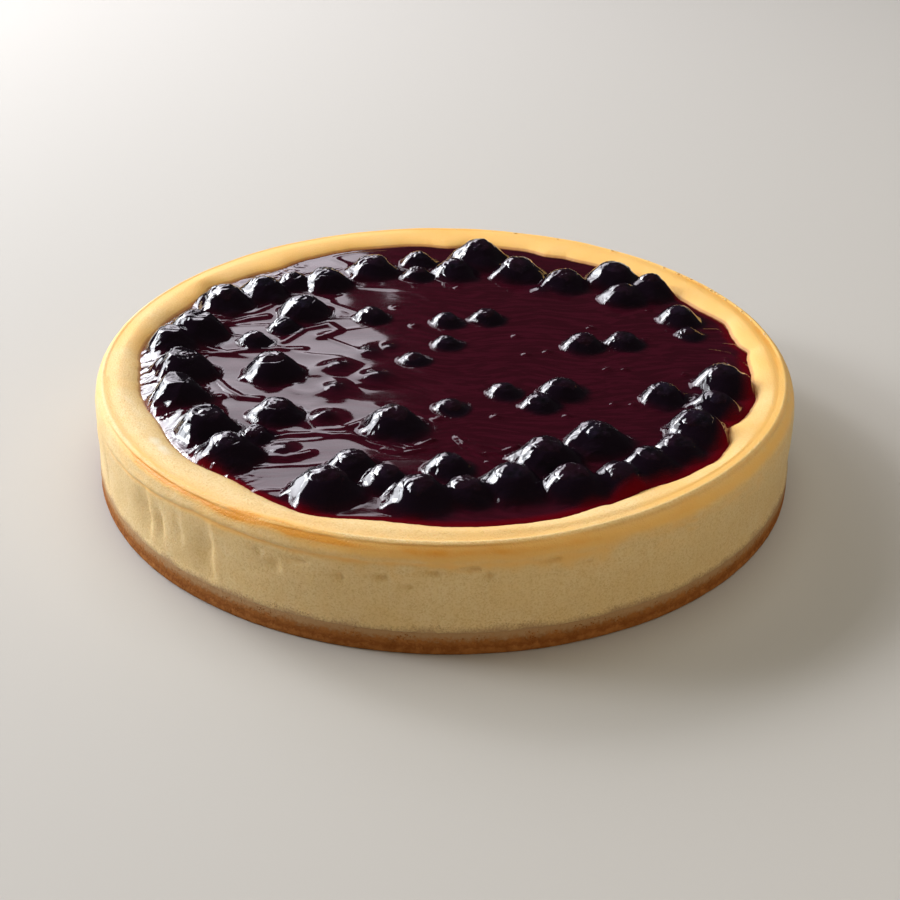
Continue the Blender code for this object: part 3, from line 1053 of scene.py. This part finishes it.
    def shaped(self, spots: Spots) -> tuple[Array, Array]:
        """Where the outline, the lip and the side move the points.

        Args:
            spots: Points of the turned profile.

        Returns:
            How many times farther from the middle each lies, and how much higher in metres.
        """
        turn, radius, on_rim = spots.turn, spots.radius, self.on_rim(spots)
        share = self.outline_start.at(radius) * (1.0 - self.outline_end.at(radius - self.outline.radius))
        moved_out = np.where(radius > self.side_start, self.pushed(spots), 0.0)
        lip = self.lip_start.at(radius) * (1.0 - self.lip_end.at(radius))
        out = np.where(on_rim, self.outline.reach(turn) * share, moved_out)
        out -= along(self.lip_insets, turn) * lip * (spots.height > self.lip_foot)
        left = self.groove_start.at(turn) * (turn > self.groove_turns_from)
        filled = np.maximum(left, self.groove_end.at(turn))
        up = self.rim_swell.over(spots) * self.rim_swell_start.at(radius)
        up += self.groove.at(radius) * filled + along(self.lip_rises, turn) * lip
        return 1.0 + out / np.maximum(radius, MM), np.where(on_rim, up, 0.0)

    def on_rim(self, spots: Spots) -> Array:
        """Returns which points lie on top, within the lip."""
        return (spots.radius < self.rim_end) & (spots.height > self.rim_foot)

    def build(self, finish: bpy.types.Material) -> bpy.types.Object:
        """Makes the filling.

        Args:
            finish: Its material.

        Returns:
            The piece.
        """
        profile = [(0.0, self.recess), (PLAIN, self.recess), *rounded(self.rim_keys)]
        bm = spun([*profile, (PLAIN, self.foot), (0.0, self.foot)])
        places = points_of(bm)
        spots = Spots(*places.T.copy())
        grown, raised = self.shaped(spots)
        places[:, :2] *= grown[:, None]
        places[:, 2] += raised
        stained = 1.0 - self.stain_end.at(spots.radius - self.outline.radius)
        # Painted shade: the dents in the side are darkened by their depth, most at the front.
        creased = along(self.dent_shade_strengths, spots.turn) * self.dented(spots) / MM
        tints = {
            Tint.BROWNING_AND_PAINTED_LIGHT: self.baked(spots),
            Tint.STAINED: self.stain_share * stained * self.on_rim(spots),
            Tint.DENT_SHADE: np.clip(creased, 0.0, 1.0) * (spots.radius > self.dent_shade_start),
        }
        move_points(bm, places, tints)
        piece = finished(bm, "baked_filling", finish)
        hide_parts("cheese_filling")
        return piece


@dataclass
class Base:
    """The pressed crumb base."""

    height: float = 7.3 * MM
    edge_keys: Keys = (
        (114.0 * MM, 7.34 * MM), (114.7 * MM, 7.34 * MM), (114.85 * MM, 7.31 * MM), (114.87 * MM, 7.1 * MM),
        (114.9 * MM, 6.4 * MM), (115.0 * MM, 4.6 * MM), (114.95 * MM, 3.2 * MM), (115.1 * MM, 2.0 * MM),
        (115.15 * MM, 1.0 * MM), (115.0 * MM, 0.3 * MM), (114.7 * MM, 0.0),
    )
    edge_start: float = 114.0 * MM
    grain: Lumps = Lumps(0.06 * MM, 0.003, octaves=3)
    swell: Lumps = Lumps(0.15 * MM, 0.025)
    farthest_out: float = 0.15 * MM
    top_end: Ease = Ease(7.4 * MM, -1.0 * MM)

    def build(self, finish: bpy.types.Material) -> bpy.types.Object:
        """Makes the base.

        Args:
            finish: Its material.

        Returns:
            The piece.
        """
        profile = [(0.0, self.height), (PLAIN, self.height), *rounded(self.edge_keys)]
        bm = spun([*profile, (PLAIN, 0.0), (0.0, 0.0)])
        places = points_of(bm)
        spots = Spots(*places.T.copy())
        out = np.minimum(self.grain.over(spots) + self.swell.over(spots), self.farthest_out)
        out *= self.top_end.at(spots.height) * (spots.radius > self.edge_start)
        places[:, :2] *= 1.0 + out[:, None] / np.maximum(spots.radius, MM)[:, None]
        move_points(bm, places)
        piece = finished(bm, "pressed_base", finish)
        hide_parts("crumb_base")
        return piece


@dataclass
class Berry:
    """One berry, as wide and high as its solid. Each layer of its relief has a pace and a depth."""

    node: str
    slow: Pair = (1.3, 0.07)
    ridge: Pair = (2.2, 0.10)
    fine: Pair = (5.0, 0.035)
    ridge_middle: float = 0.35
    dimple: Band = Band(0.06, 0.0, 0.30)
    dimple_tilt: float = 0.6
    farthest_out: float = 1.05
    patterns: float = 90.0
    shrunk_beyond: float = 78.0 * MM
    shrunk_left_of: float = -50.0 * MM
    shrunk: Pair = (0.8, 1.0)
    plumper: Pair = (0.4, 0.9)
    centre: Vector = field(init=False)
    radius: float = field(init=False)
    half_height: float = field(init=False)

    def __post_init__(self) -> None:
        """Reads the berry's place and size."""
        low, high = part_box(self.node)
        self.centre = (low + high) / 2.0
        self.radius = (high.x - low.x + high.y - low.y) / 4.0
        self.half_height = (high.z - low.z) / 2.0

    def wrinkling(self, rng: random.Random) -> float:
        """How wrinkled the skin is, most at the left edge.

        Args:
            rng: The source of its own share.

        Returns:
            0 for plump to 1 for shrunk.
        """
        outer = math.hypot(self.centre.x, self.centre.y) > self.shrunk_beyond
        left = outer and self.centre.x < self.shrunk_left_of
        return rng.uniform(*(self.shrunk if left else self.plumper))

    def build(self, finish: bpy.types.Material, rng: random.Random) -> bpy.types.Object:
        """Makes the berry: a ball with slow lumps, a wrinkled skin and a small dimple.

        Args:
            finish: Its material.
            rng: The source of its own pattern.

        Returns:
            The piece.
        """
        bm = bmesh.new()
        bmesh.ops.create_icosphere(bm, subdivisions=5, radius=1.0)
        own = rng.uniform(0.0, self.patterns)
        shrunk = self.wrinkling(rng)
        tilt = [rng.uniform(-self.dimple_tilt, self.dimple_tilt) for _ in range(2)]
        dimple = Vector((*tilt, 1.0)).normalized()
        facing = points_of(bm)
        shifts = np.eye(3) * own
        slow, ridge, fine = (
            np.array([noise.noise(point) for point in (facing * pace + shift).tolist()])
            for (pace, _), shift in zip((self.slow, self.ridge, self.fine), shifts)
        )
        from_dimple = np.arccos(np.clip(facing @ np.array(dimple), -1.0, 1.0))
        wrinkles = self.fine[1] * fine - self.ridge[1] * (self.ridge_middle - np.abs(ridge))
        out = 1.0 + self.slow[1] * slow + shrunk * wrinkles - self.dimple.at(from_dimple)
        size = np.array((self.radius, self.radius, self.half_height))
        move_points(bm, np.array(self.centre) + facing * size * np.minimum(out, self.farthest_out)[:, None])
        piece = finished(bm, self.node.replace("berry", "cooked_berry"), finish)
        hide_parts(self.node)
        return piece


@dataclass
class Glaze:
    """The berry glaze: a wet uneven level that climbs the berries and covers the sunk ones.

    A sunk berry is its X, Y, size and rise, a seed is its X and Y, and a ridge is its rise, half width and
    line, all in millimetres. Shares that grow leftwards are their least and how much they grow.
    """

    outline: GlazeOutline
    berries: Sequence[Berry]
    level: float = 33.0 * MM
    underside: float = 29.6 * MM
    cells: int = 348
    margin: float = 5.5 * MM
    overlap: float = 1.0 * MM
    tuck: float = 4.0 * MM
    climb_reach: float = 20.0 * MM
    climb_hollow: float = 1.1
    climb_wander: Lumps = Lumps(0.35, 0.006, octaves=1)
    climb_pattern: float = 0.037
    merging: int = 4
    cap: float = 0.7
    skirt: float = 2.6 * MM
    slope: float = 1.25
    steeper_behind: float = 0.6
    # How far the dark fringe round each berry is pushed right and forward: painted shade away from the
    # lights.
    painted_shade_shift: Pair = (1.0 * MM, -0.3 * MM)
    fringe_width: float = 0.6 * MM
    fringe_end: Ease = Ease(0.5, 0.8)
    mound_lumps: Lumps = Lumps(0.40 * MM, 0.006, 8.5, 1)
    thin_widths: Keys = (
        (0.0, 5.0 * MM), (30.0, 3.0 * MM), (70.0, 1.6 * MM), (180.0, 1.2 * MM), (215.0, 1.2 * MM),
        (250.0, 2.4 * MM), (290.0, 4.0 * MM), (320.0, 5.0 * MM), (345.0, 6.5 * MM), (360.0, 5.0 * MM),
    )
    thinnest: float = 0.3 * MM
    dark_start: Ease = Ease(0.0, 4.0 * MM)
    sunk_darkness: float = 0.8
    sunk: tuple[tuple[float, float, float, float], ...] = (
        (-22.0, -15.5, 5.0, 1.6), (-35.4, -8.6, 4.6, 1.5), (-35.0, -23.5, 4.6, 1.4),
        (-36.5, -42.5, 4.0, 1.9), (-25.5, 3.5, 4.8, 0.9), (-19.0, 6.5, 3.2, 0.9), (34.5, 55.0, 4.0, 1.2),
        (-90.0, -38.0, 4.2, 1.6), (-96.0, -2.0, 3.2, 1.0), (-48.0, -62.0, 4.4, 1.1),
        (-60.0, -57.0, 4.2, 1.0), (80.0, -27.0, 3.6, 1.2),
    )
    seed: Band = Band(0.55 * MM, 0.0, 1.3 * MM)
    seeds: Keys = (
        (-11.0, 24.0), (24.0, 17.0), (27.0, 3.0), (34.0, 5.0), (68.0, 15.0), (53.0, -7.0), (59.0, -7.0),
        (78.0, -10.0), (-18.0, 39.0), (4.0, 57.0), (-2.0, -42.0), (16.0, -40.0), (36.0, -36.0),
        (38.0, -39.0), (53.0, -31.0), (59.0, -31.0), (50.0, 24.0), (84.0, 23.0), (72.0, 39.0),
        (25.0, -84.0), (8.0, -91.0), (58.0, -76.0), (20.0, -92.0),
    )
    ridges: tuple[tuple[float, float, Keys], ...] = (
        (0.55, 1.4, ((-79, -8), (-74, -17), (-69, -25), (-64, -30), (-58, -31))),
        (0.40, 1.5, ((-93, 3), (-81, 4), (-73, 1), (-61, 4), (-48, 5))),
        (0.50, 1.6, ((-83, 8), (-81, 16), (-76, 23), (-69, 28), (-63, 30))),
        (0.45, 1.6, ((-84, 30), (-77, 27), (-68, 33), (-61, 41))),
        (0.40, 1.6, ((-55, 10), (-49, 20), (-41, 24), (-37, 19), (-43, 14))),
        (0.45, 1.4, ((-54, -57), (-47, -53), (-39, -52), (-28, -53), (-21, -58), (-13, -61), (-3, -60))),
        (0.35, 1.0, ((-28, -53), (-19, -56), (-10, -58), (-3, -55))),
        (0.50, 1.5, ((-60, -62), (-53, -66), (-46, -67), (-39, -63))),
        (0.35, 1.2, ((-44, -44), (-39, -50), (-31, -49), (-22, -42))),
        (0.50, 1.5, ((-90, -42), (-83, -40), (-75, -33), (-70, -30))),
        (0.30, 0.6, ((5, -52), (11, -58), (18, -59), (24, -58))),
        (0.30, 0.6, ((6, -56), (12, -62), (20, -64))),
        (0.45, 0.7, ((-19, -53), (-14, -58), (-9, -60), (-3, -55))),
        (0.40, 0.6, ((-18, -61), (-12, -63), (-6, -61))),
        (0.45, 0.8, ((4, -53), (7, -59), (11, -63), (17, -62), (22, -58))),
        (0.35, 0.6, ((13, -67), (16, -69), (22, -69))), (0.40, 0.6, ((28, -72), (31, -74), (34, -72))),
        (0.35, 0.6, ((25, -70), (29, -73), (33, -71))), (0.35, 0.6, ((89, 24), (94, 24), (96, 19))),
        (0.35, 0.6, ((94, 13), (98, 12), (100, 7))), (0.40, 0.6, ((89, 8), (95, 6), (99, -3))),
        (0.45, 0.6, ((93, 2), (95, -5), (96, -13), (98, -19))),
        (0.35, 0.6, ((82, -46), (84, -51), (85, -57))), (0.30, 0.6, ((82, 54), (85, 48), (88, 41))),
    )
    leftwards: Ease = Ease(35.0 * MM, -110.0 * MM)
    bend: Lumps = Lumps(2.2 * MM, 0.04, 0.9, 1)
    swell: Lumps = Lumps(1.0 * MM, 0.022, 0.02, scale=(1.0 / 1.6, 1.0, 1.0))
    swell_shares: Pair = (0.10, 0.40)
    wave: Lumps = Lumps(1.0 * MM, 0.0062, 3.1, 1, (1.0 / 3.2, 1.0, 1.0))
    wave_shares: Pair = (0.02, 0.03)
    crest: Lumps = Lumps(1.0, 0.014, 7.7, 1, (1.0 / 3.0, 1.0, 1.0))
    crest_line: Band = Band(1.0 * MM, 0.0, 0.06)
    crest_shares: Pair = (0.01, 0.20)
    crinkle: Lumps = Lumps(1.0, 0.0042, 5.5, scale=(1.0 / 3.5, 1.0, 1.0))
    crinkle_height: float = 0.38 * MM
    mound_crinkling: float = 0.4
    mound_start: Ease = Ease(0.35, 0.5)
    inland: Ease = Ease(96.0 * MM, -9.0 * MM)
    shore_crinkling: float = 0.5
    shore_left: Ease = Ease(-48.0 * MM, -20.0 * MM)
    shore_start: Ease = Ease(76.0 * MM, 10.0 * MM)
    shoulder_rise: float = 2.3 * MM
    shoulder_edge: Ease = Ease(0.0, 9.0 * MM)
    shoulder_back: Ease = Ease(9.0 * MM, 16.0 * MM)
    shoulder_direction: float = 188.0
    shoulder_end: Ease = Ease(33.0, -13.0)
    drop_start: float = 2.0 * MM
    drop_length: float = 3.0 * MM
    drop_depth: float = 0.9 * MM
    drop_curve: float = 2.2
    shore_level: float = 0.1 * MM

    def climb(self, spots: Spots) -> tuple[Array, Array]:
        """How the glaze climbs over the berries and leaves their caps bare.

        Args:
            spots: Points of the glaze.

        Returns:
            Its rise in metres, and how much it belongs to a berry, 0 to 1, its dark fringe pushed aside as
            painted shade.
        """
        total = np.zeros(len(spots.x))
        dark = np.zeros(len(spots.x))
        for number, berry in enumerate(self.berries):
            dx, dy = spots.x - berry.centre.x, spots.y - berry.centre.y
            near = np.flatnonzero(np.hypot(dx, dy) < self.climb_reach)
            dx, dy = dx[near], dy[near]
            bare = berry.radius * self.cap
            away = np.maximum(np.hypot(dx, dy) - bare, 0.0)
            top = berry.centre.z - self.level + self.cap * berry.half_height
            behind = np.clip(dy / np.maximum(np.hypot(dx, dy), MM), 0.0, 1.0)
            side = 1.0 + self.climb_wander.at(dx, dy, number * self.climb_pattern)
            reach = max(self.slope * top, self.skirt) * side * (1.0 - self.steeper_behind * behind)
            mound = top * np.clip(1.0 - (away / reach) ** self.climb_hollow, 0.0, 1.0)
            total[near] += mound**self.merging
            # Painted shade: the dark fringe is pushed off to the berry's side away from the lights.
            right, back = self.painted_shade_shift
            away = np.maximum(np.hypot(dx - right, dy - back) - bare, 0.0)
            fringe = 1.0 - self.fringe_end.at(away / (reach + self.fringe_width))
            dark[near] = np.maximum(dark[near], fringe)
        for sx, sy, size, rise in self.sunk:
            mound = bell(np.hypot(spots.x - sx * MM, spots.y - sy * MM), size * MM)
            total += (rise * MM * mound) ** self.merging
            dark = np.maximum(dark, self.sunk_darkness * mound)
        return total ** (1.0 / self.merging), dark

    def drawn(self, spots: Spots) -> Array:
        """The narrow ridges between pools and the small seeds under the glaze.

        Args:
            spots: Points of the glaze.

        Returns:
            Their rise in metres.
        """
        rise = np.zeros(len(spots.x))
        for height, half_width, line in self.ridges:
            away = np.full(len(rise), np.inf)
            for (ax, ay), (bx, by) in zip(line, line[1:]):
                from_x, from_y = spots.x - ax * MM, spots.y - ay * MM
                dx, dy = (bx - ax) * MM, (by - ay) * MM
                share = np.clip((from_x * dx + from_y * dy) / (dx * dx + dy * dy), 0.0, 1.0)
                away = np.minimum(away, np.hypot(from_x - share * dx, from_y - share * dy))
            rise += height * MM * bell(away, half_width * MM)
        for sx, sy in self.seeds:
            rise += self.seed.at(np.hypot(spots.x - sx * MM, spots.y - sy * MM))
        return rise

    def crinkled(self, spots: Spots, mound: Array) -> Array:
        """How crinkled the glaze's skin is, over the berries and most along the left edge.

        Args:
            spots: Points of the glaze.
            mound: How much the glaze belongs to a berry, 0 to 1, its dark fringe pushed aside as painted
                shade.

        Returns:
            0 for smooth to 1.
        """
        shore = self.shore_left.at(spots.x) * self.shore_start.at(spots.radius)
        on_mounds = self.mound_start.at(mound) * self.inland.at(spots.radius)
        return np.maximum(self.mound_crinkling * on_mounds, self.shore_crinkling * shore)

    def flow(self, spots: Spots, mound: Array) -> Array:
        """How the glaze ran: slow swells, drawn-out waves, and crinkles over the berries and the left edge.

        Args:
            spots: Points of the glaze.
            mound: How much the glaze belongs to a berry, 0 to 1, its dark fringe pushed aside as painted
                shade.

        Returns:
            Metres above the level.
        """
        left = self.leftwards.at(spots.x)
        bent = Spots(spots.x, spots.y + self.bend.over(spots), spots.height)
        skewed = Spots(spots.x + spots.y, spots.x - spots.y, spots.height)
        crests = self.crest_line.at(np.abs(self.crest.over(bent)))
        ran = (
            (self.swell_shares, self.swell.over(bent)),
            (self.wave_shares, self.wave.over(bent)),
            (self.crest_shares, crests),
        )
        rise = sum((least + more * left) * height for (least, more), height in ran)
        crinkles = self.crinkled(spots, mound) * (0.5 - np.abs(self.crinkle.over(skewed)))
        return rise + self.crinkle_height * crinkles + mound * self.mound_lumps.over(spots)

    def shoulder(self, turn: Array, to_edge: Array) -> Array:
        """The shoulder from which the glaze falls to the left edge.

        Args:
            turn: Degrees.
            to_edge: Metres to the glaze's edge.

        Returns:
            Its rise in metres.
        """
        falls = self.shoulder_edge.at(to_edge) * (1.0 - self.shoulder_back.at(to_edge))
        here = self.shoulder_end.at(np.abs(turn_gap(turn, self.shoulder_direction)))
        return self.shoulder_rise * falls * here

    def surface(self, spots: Spots) -> tuple[Array, Array, Array]:
        """The glaze's surface.

        Args:
            spots: Points of the glaze.

        Returns:
            Its height in metres, how thin it is, and how dark it is where berries show through and as painted
            shade, both 0 to 1.
        """
        to_edge = self.outline.edge(spots.turn) - spots.radius
        climb, dark = self.climb(spots)
        rise = self.flow(spots, dark) + self.drawn(spots) + climb + self.shoulder(spots.turn, to_edge)
        drop = np.clip((self.drop_start - to_edge) / self.drop_length, 0.0, 1.0)
        rise -= (rise + self.shore_level) * smooth(drop) + self.drop_depth * drop**self.drop_curve
        thin = 1.0 - smooth((to_edge - self.thinnest) / along(self.thin_widths, spots.turn))
        return self.level + rise, thin, dark * self.dark_start.at(to_edge)

    def build(self, finish: bpy.types.Material) -> bpy.types.Object:
        """Makes the glaze as a closed slab with a fine top.

        Args:
            finish: Its material.

        Returns:
            The piece.
        """
        bm = bmesh.new()
        half = self.outline.radius + self.margin
        bmesh.ops.create_grid(bm, x_segments=self.cells, y_segments=self.cells, size=half)
        spots = Spots(*points_of(bm).T)
        outside = spots.radius > self.outline.edge(spots.turn) + self.overlap
        bmesh.ops.delete(bm, geom=[vert for vert, out in zip(bm.verts, outside) if out], context="VERTS")
        places = points_of(bm)
        spots = Spots(*places.T)
        edge = np.array([vert.is_boundary for vert in bm.verts])
        limit = self.outline.edge(spots.turn) + self.overlap
        places[:, :2] *= np.where(edge, limit / np.maximum(spots.radius, MM), 1.0)[:, None]
        spots = Spots(*places.T)
        height, thin, dark = self.surface(spots)
        tints = {Tint.THIN: thin, Tint.BERRY_DARK_AND_SHADE: dark, Tint.CRINKLED: self.crinkled(spots, dark)}
        move_points(bm, np.column_stack((spots.x, spots.y, height)), tints)
        skirt = bmesh.ops.extrude_edge_only(bm, edges=[rim for rim in bm.edges if rim.is_boundary])["geom"]
        for vert in (part for part in skirt if isinstance(part, bmesh.types.BMVert)):
            shrink = (self.outline.radius - self.tuck) / math.hypot(vert.co.x, vert.co.y)
            vert.co = (vert.co.x * shrink, vert.co.y * shrink, self.underside)
        bmesh.ops.edgeloop_fill(bm, edges=[part for part in skirt if isinstance(part, bmesh.types.BMEdge)])
        piece = finished(bm, "wet_berry_glaze", finish)
        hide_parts("berry_glaze")
        return piece


@dataclass
class RimCrumbs:
    """Baked crumbs and flakes that cling to the outer lip, most of them at the back right."""

    count: int = 56
    middle: float = 26.0
    spread: float = 13.0
    others_each: int = 8
    others: Pair = (60.0, 90.0)
    radius: float = 110.6 * MM
    stray: float = 0.5 * MM
    height: float = 34.5 * MM
    sizes: Pair = (0.2, 0.55)
    widths: Pair = (0.5, 1.0)
    heights: Pair = (0.5, 0.9)
    proud: float = 0.2
    roughness: float = 0.25
    lump: float = 0.5 * MM

    def build(self, finish: bpy.types.Material, rng: random.Random) -> bpy.types.Object:
        """Makes all the crumbs as one piece.

        Args:
            finish: Its material.
            rng: The source of their places and shapes.

        Returns:
            The piece.
        """
        bm = bmesh.new()
        for number in range(self.count):
            other = number % self.others_each == 0
            turn = math.radians(rng.uniform(*self.others) if other else rng.gauss(self.middle, self.spread))
            radius = self.radius + rng.uniform(-self.stray, self.stray)
            size = rng.uniform(*self.sizes) * MM
            shape = Matrix.Diagonal((1.0, rng.uniform(*self.widths), rng.uniform(*self.heights), 1.0))
            spot = (radius * math.cos(turn), radius * math.sin(turn), self.height + self.proud * size)
            place = Matrix.Translation(spot) @ Matrix.Rotation(rng.uniform(0.0, math.tau), 4, "Z") @ shape
            made = bmesh.ops.create_icosphere(bm, subdivisions=2, radius=size, matrix=place)
            for vert in made["verts"]:
                vert.co += self.roughness * size * noise.noise_vector(vert.co / self.lump)
        return finished(bm, "lip_crumbs", finish)


@dataclass(frozen=True)
class SoftBox:
    """A large soft light that faces the cake.

    Its place is a turn in degrees from the back to the right and a rise in degrees, at a distance. Its width
    and height are in degrees as the cake sees them. One that isn't mirrored only fills the shade.
    """

    name: str
    turn: float
    rise: float
    width: float
    height: float
    strength: float
    colour: tuple[float, float, float]
    mirrored: bool = True
    distance: float = 1.7

    def build(self) -> bpy.types.Object:
        """Makes the light.

        Returns:
            The light.
        """
        lamp = bpy.data.lights.new(self.name, "AREA")
        lamp.shape = "RECTANGLE"
        lamp.size = 2.0 * self.distance * math.tan(math.radians(self.width / 2.0))
        lamp.size_y = 2.0 * self.distance * math.tan(math.radians(self.height / 2.0))
        lamp.energy = math.pi * lamp.size * lamp.size_y * self.strength
        lamp.color = self.colour
        turn, rise = math.radians(self.turn), math.radians(self.rise)
        away = Vector((math.sin(turn) * math.cos(rise), math.cos(turn) * math.cos(rise), math.sin(rise)))
        light = bpy.data.objects.new(self.name, lamp)
        light.visible_glossy = self.mirrored
        light.location = self.distance * away
        light.rotation_euler = away.to_track_quat("Z", "Y").to_euler()
        bpy.context.scene.collection.objects.link(light)
        return light


@dataclass
class Studio:
    """Floor, lights, surrounding light and camera."""

    boxes: tuple[SoftBox, ...] = (
        SoftBox("curtain", -17.0, 27.0, 22.0, 20.0, 3.0, (0.96, 0.91, 1.0)),
        SoftBox("window", -48.0, 30.0, 34.0, 26.0, 7.0, (0.93, 0.94, 1.0)),
        SoftBox("window_core", -51.0, 33.0, 11.0, 10.0, 24.0, (0.96, 0.97, 1.0), distance=1.6),
        SoftBox("left_key", -79.0, 24.0, 22.0, 24.0, 9.0, (0.90, 0.94, 1.0)),
        SoftBox("key_core", -80.0, 27.0, 11.0, 11.0, 27.0, (0.95, 0.97, 1.0), distance=1.6),
        SoftBox("top", 40.0, 72.0, 50.0, 40.0, 1.9, (1.0, 0.97, 0.88), mirrored=False),
        SoftBox("front_fill", 150.0, 32.0, 50.0, 36.0, 1.35, (1.0, 0.86, 0.62), mirrored=False),
    )
    ambient: Colour = (0.02, 0.019, 0.02, 1.0)
    floor_radius: float = 4.0
    floor_sides: int = 96
    camera_place: tuple[float, float, float] = (0.0019, -0.4163, 0.2429)
    looking_down: float = 30.54
    roll: float = -0.82
    lens: float = 56.0
    sensor: float = 36.0
    nearest: float = 0.01

    def floor(self) -> bpy.types.Object:
        """Makes the floor.

        Returns:
            The floor.
        """
        bm = bmesh.new()
        bmesh.ops.create_circle(bm, cap_ends=True, segments=self.floor_sides, radius=self.floor_radius)
        mesh = bpy.data.meshes.new("floor")
        bm.to_mesh(mesh)
        bm.free()
        mesh.materials.append(FloorFinish().build())
        plane = bpy.data.objects.new("floor", mesh)
        bpy.context.scene.collection.objects.link(plane)
        return plane

    def camera(self) -> bpy.types.Object:
        """Makes the camera at the photograph's place.

        Returns:
            The camera.
        """
        lens = bpy.data.cameras.new("camera")
        lens.lens, lens.sensor_width, lens.clip_start = self.lens, self.sensor, self.nearest
        camera = bpy.data.objects.new("camera", lens)
        tilt = Matrix.Rotation(math.radians(90.0 - self.looking_down), 4, "X")
        roll = Matrix.Rotation(math.radians(-self.roll), 4, "Z")
        camera.matrix_world = Matrix.Translation(self.camera_place) @ tilt @ roll
        bpy.context.scene.collection.objects.link(camera)
        bpy.context.scene.camera = camera
        return camera

    def surroundings(self) -> None:
        """Sets the faint light from all round and the picture's tone."""
        world = bpy.data.worlds.new("surroundings")
        world.use_nodes = True
        world.node_tree.nodes["Background"].inputs[0].default_value = self.ambient
        bpy.context.scene.world = world
        bpy.context.scene.view_settings.view_transform = "Standard"
        bpy.context.scene.view_settings.look = "None"

    def build(self) -> None:
        """Makes the whole studio."""
        self.floor()
        self.camera()
        self.surroundings()
        for box in self.boxes:
            box.build()


def main() -> None:
    """Builds the cake and its studio in order."""
    logging.basicConfig(level=logging.INFO, format="%(name)s: %(message)s")
    Studio().build()
    effects = Effects()
    cheese = CheeseFinish().build(effects)
    skin = BerryFinish().build(effects)
    wet = GlazeFinish().build(effects)
    outline = GlazeOutline()
    Base().build(CrumbFinish().build(effects))
    Filling(outline).build(cheese)
    names = sorted(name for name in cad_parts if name.removeprefix(BERRY).isdigit())
    berries = [Berry(name) for name in names]
    rng = random.Random(SEED)
    noise.seed_set(SEED)
    for berry in berries:
        berry.build(skin, rng)
    Glaze(outline, berries).build(wet)
    RimCrumbs().build(cheese, rng)


if __name__ == "__main__":
    main()
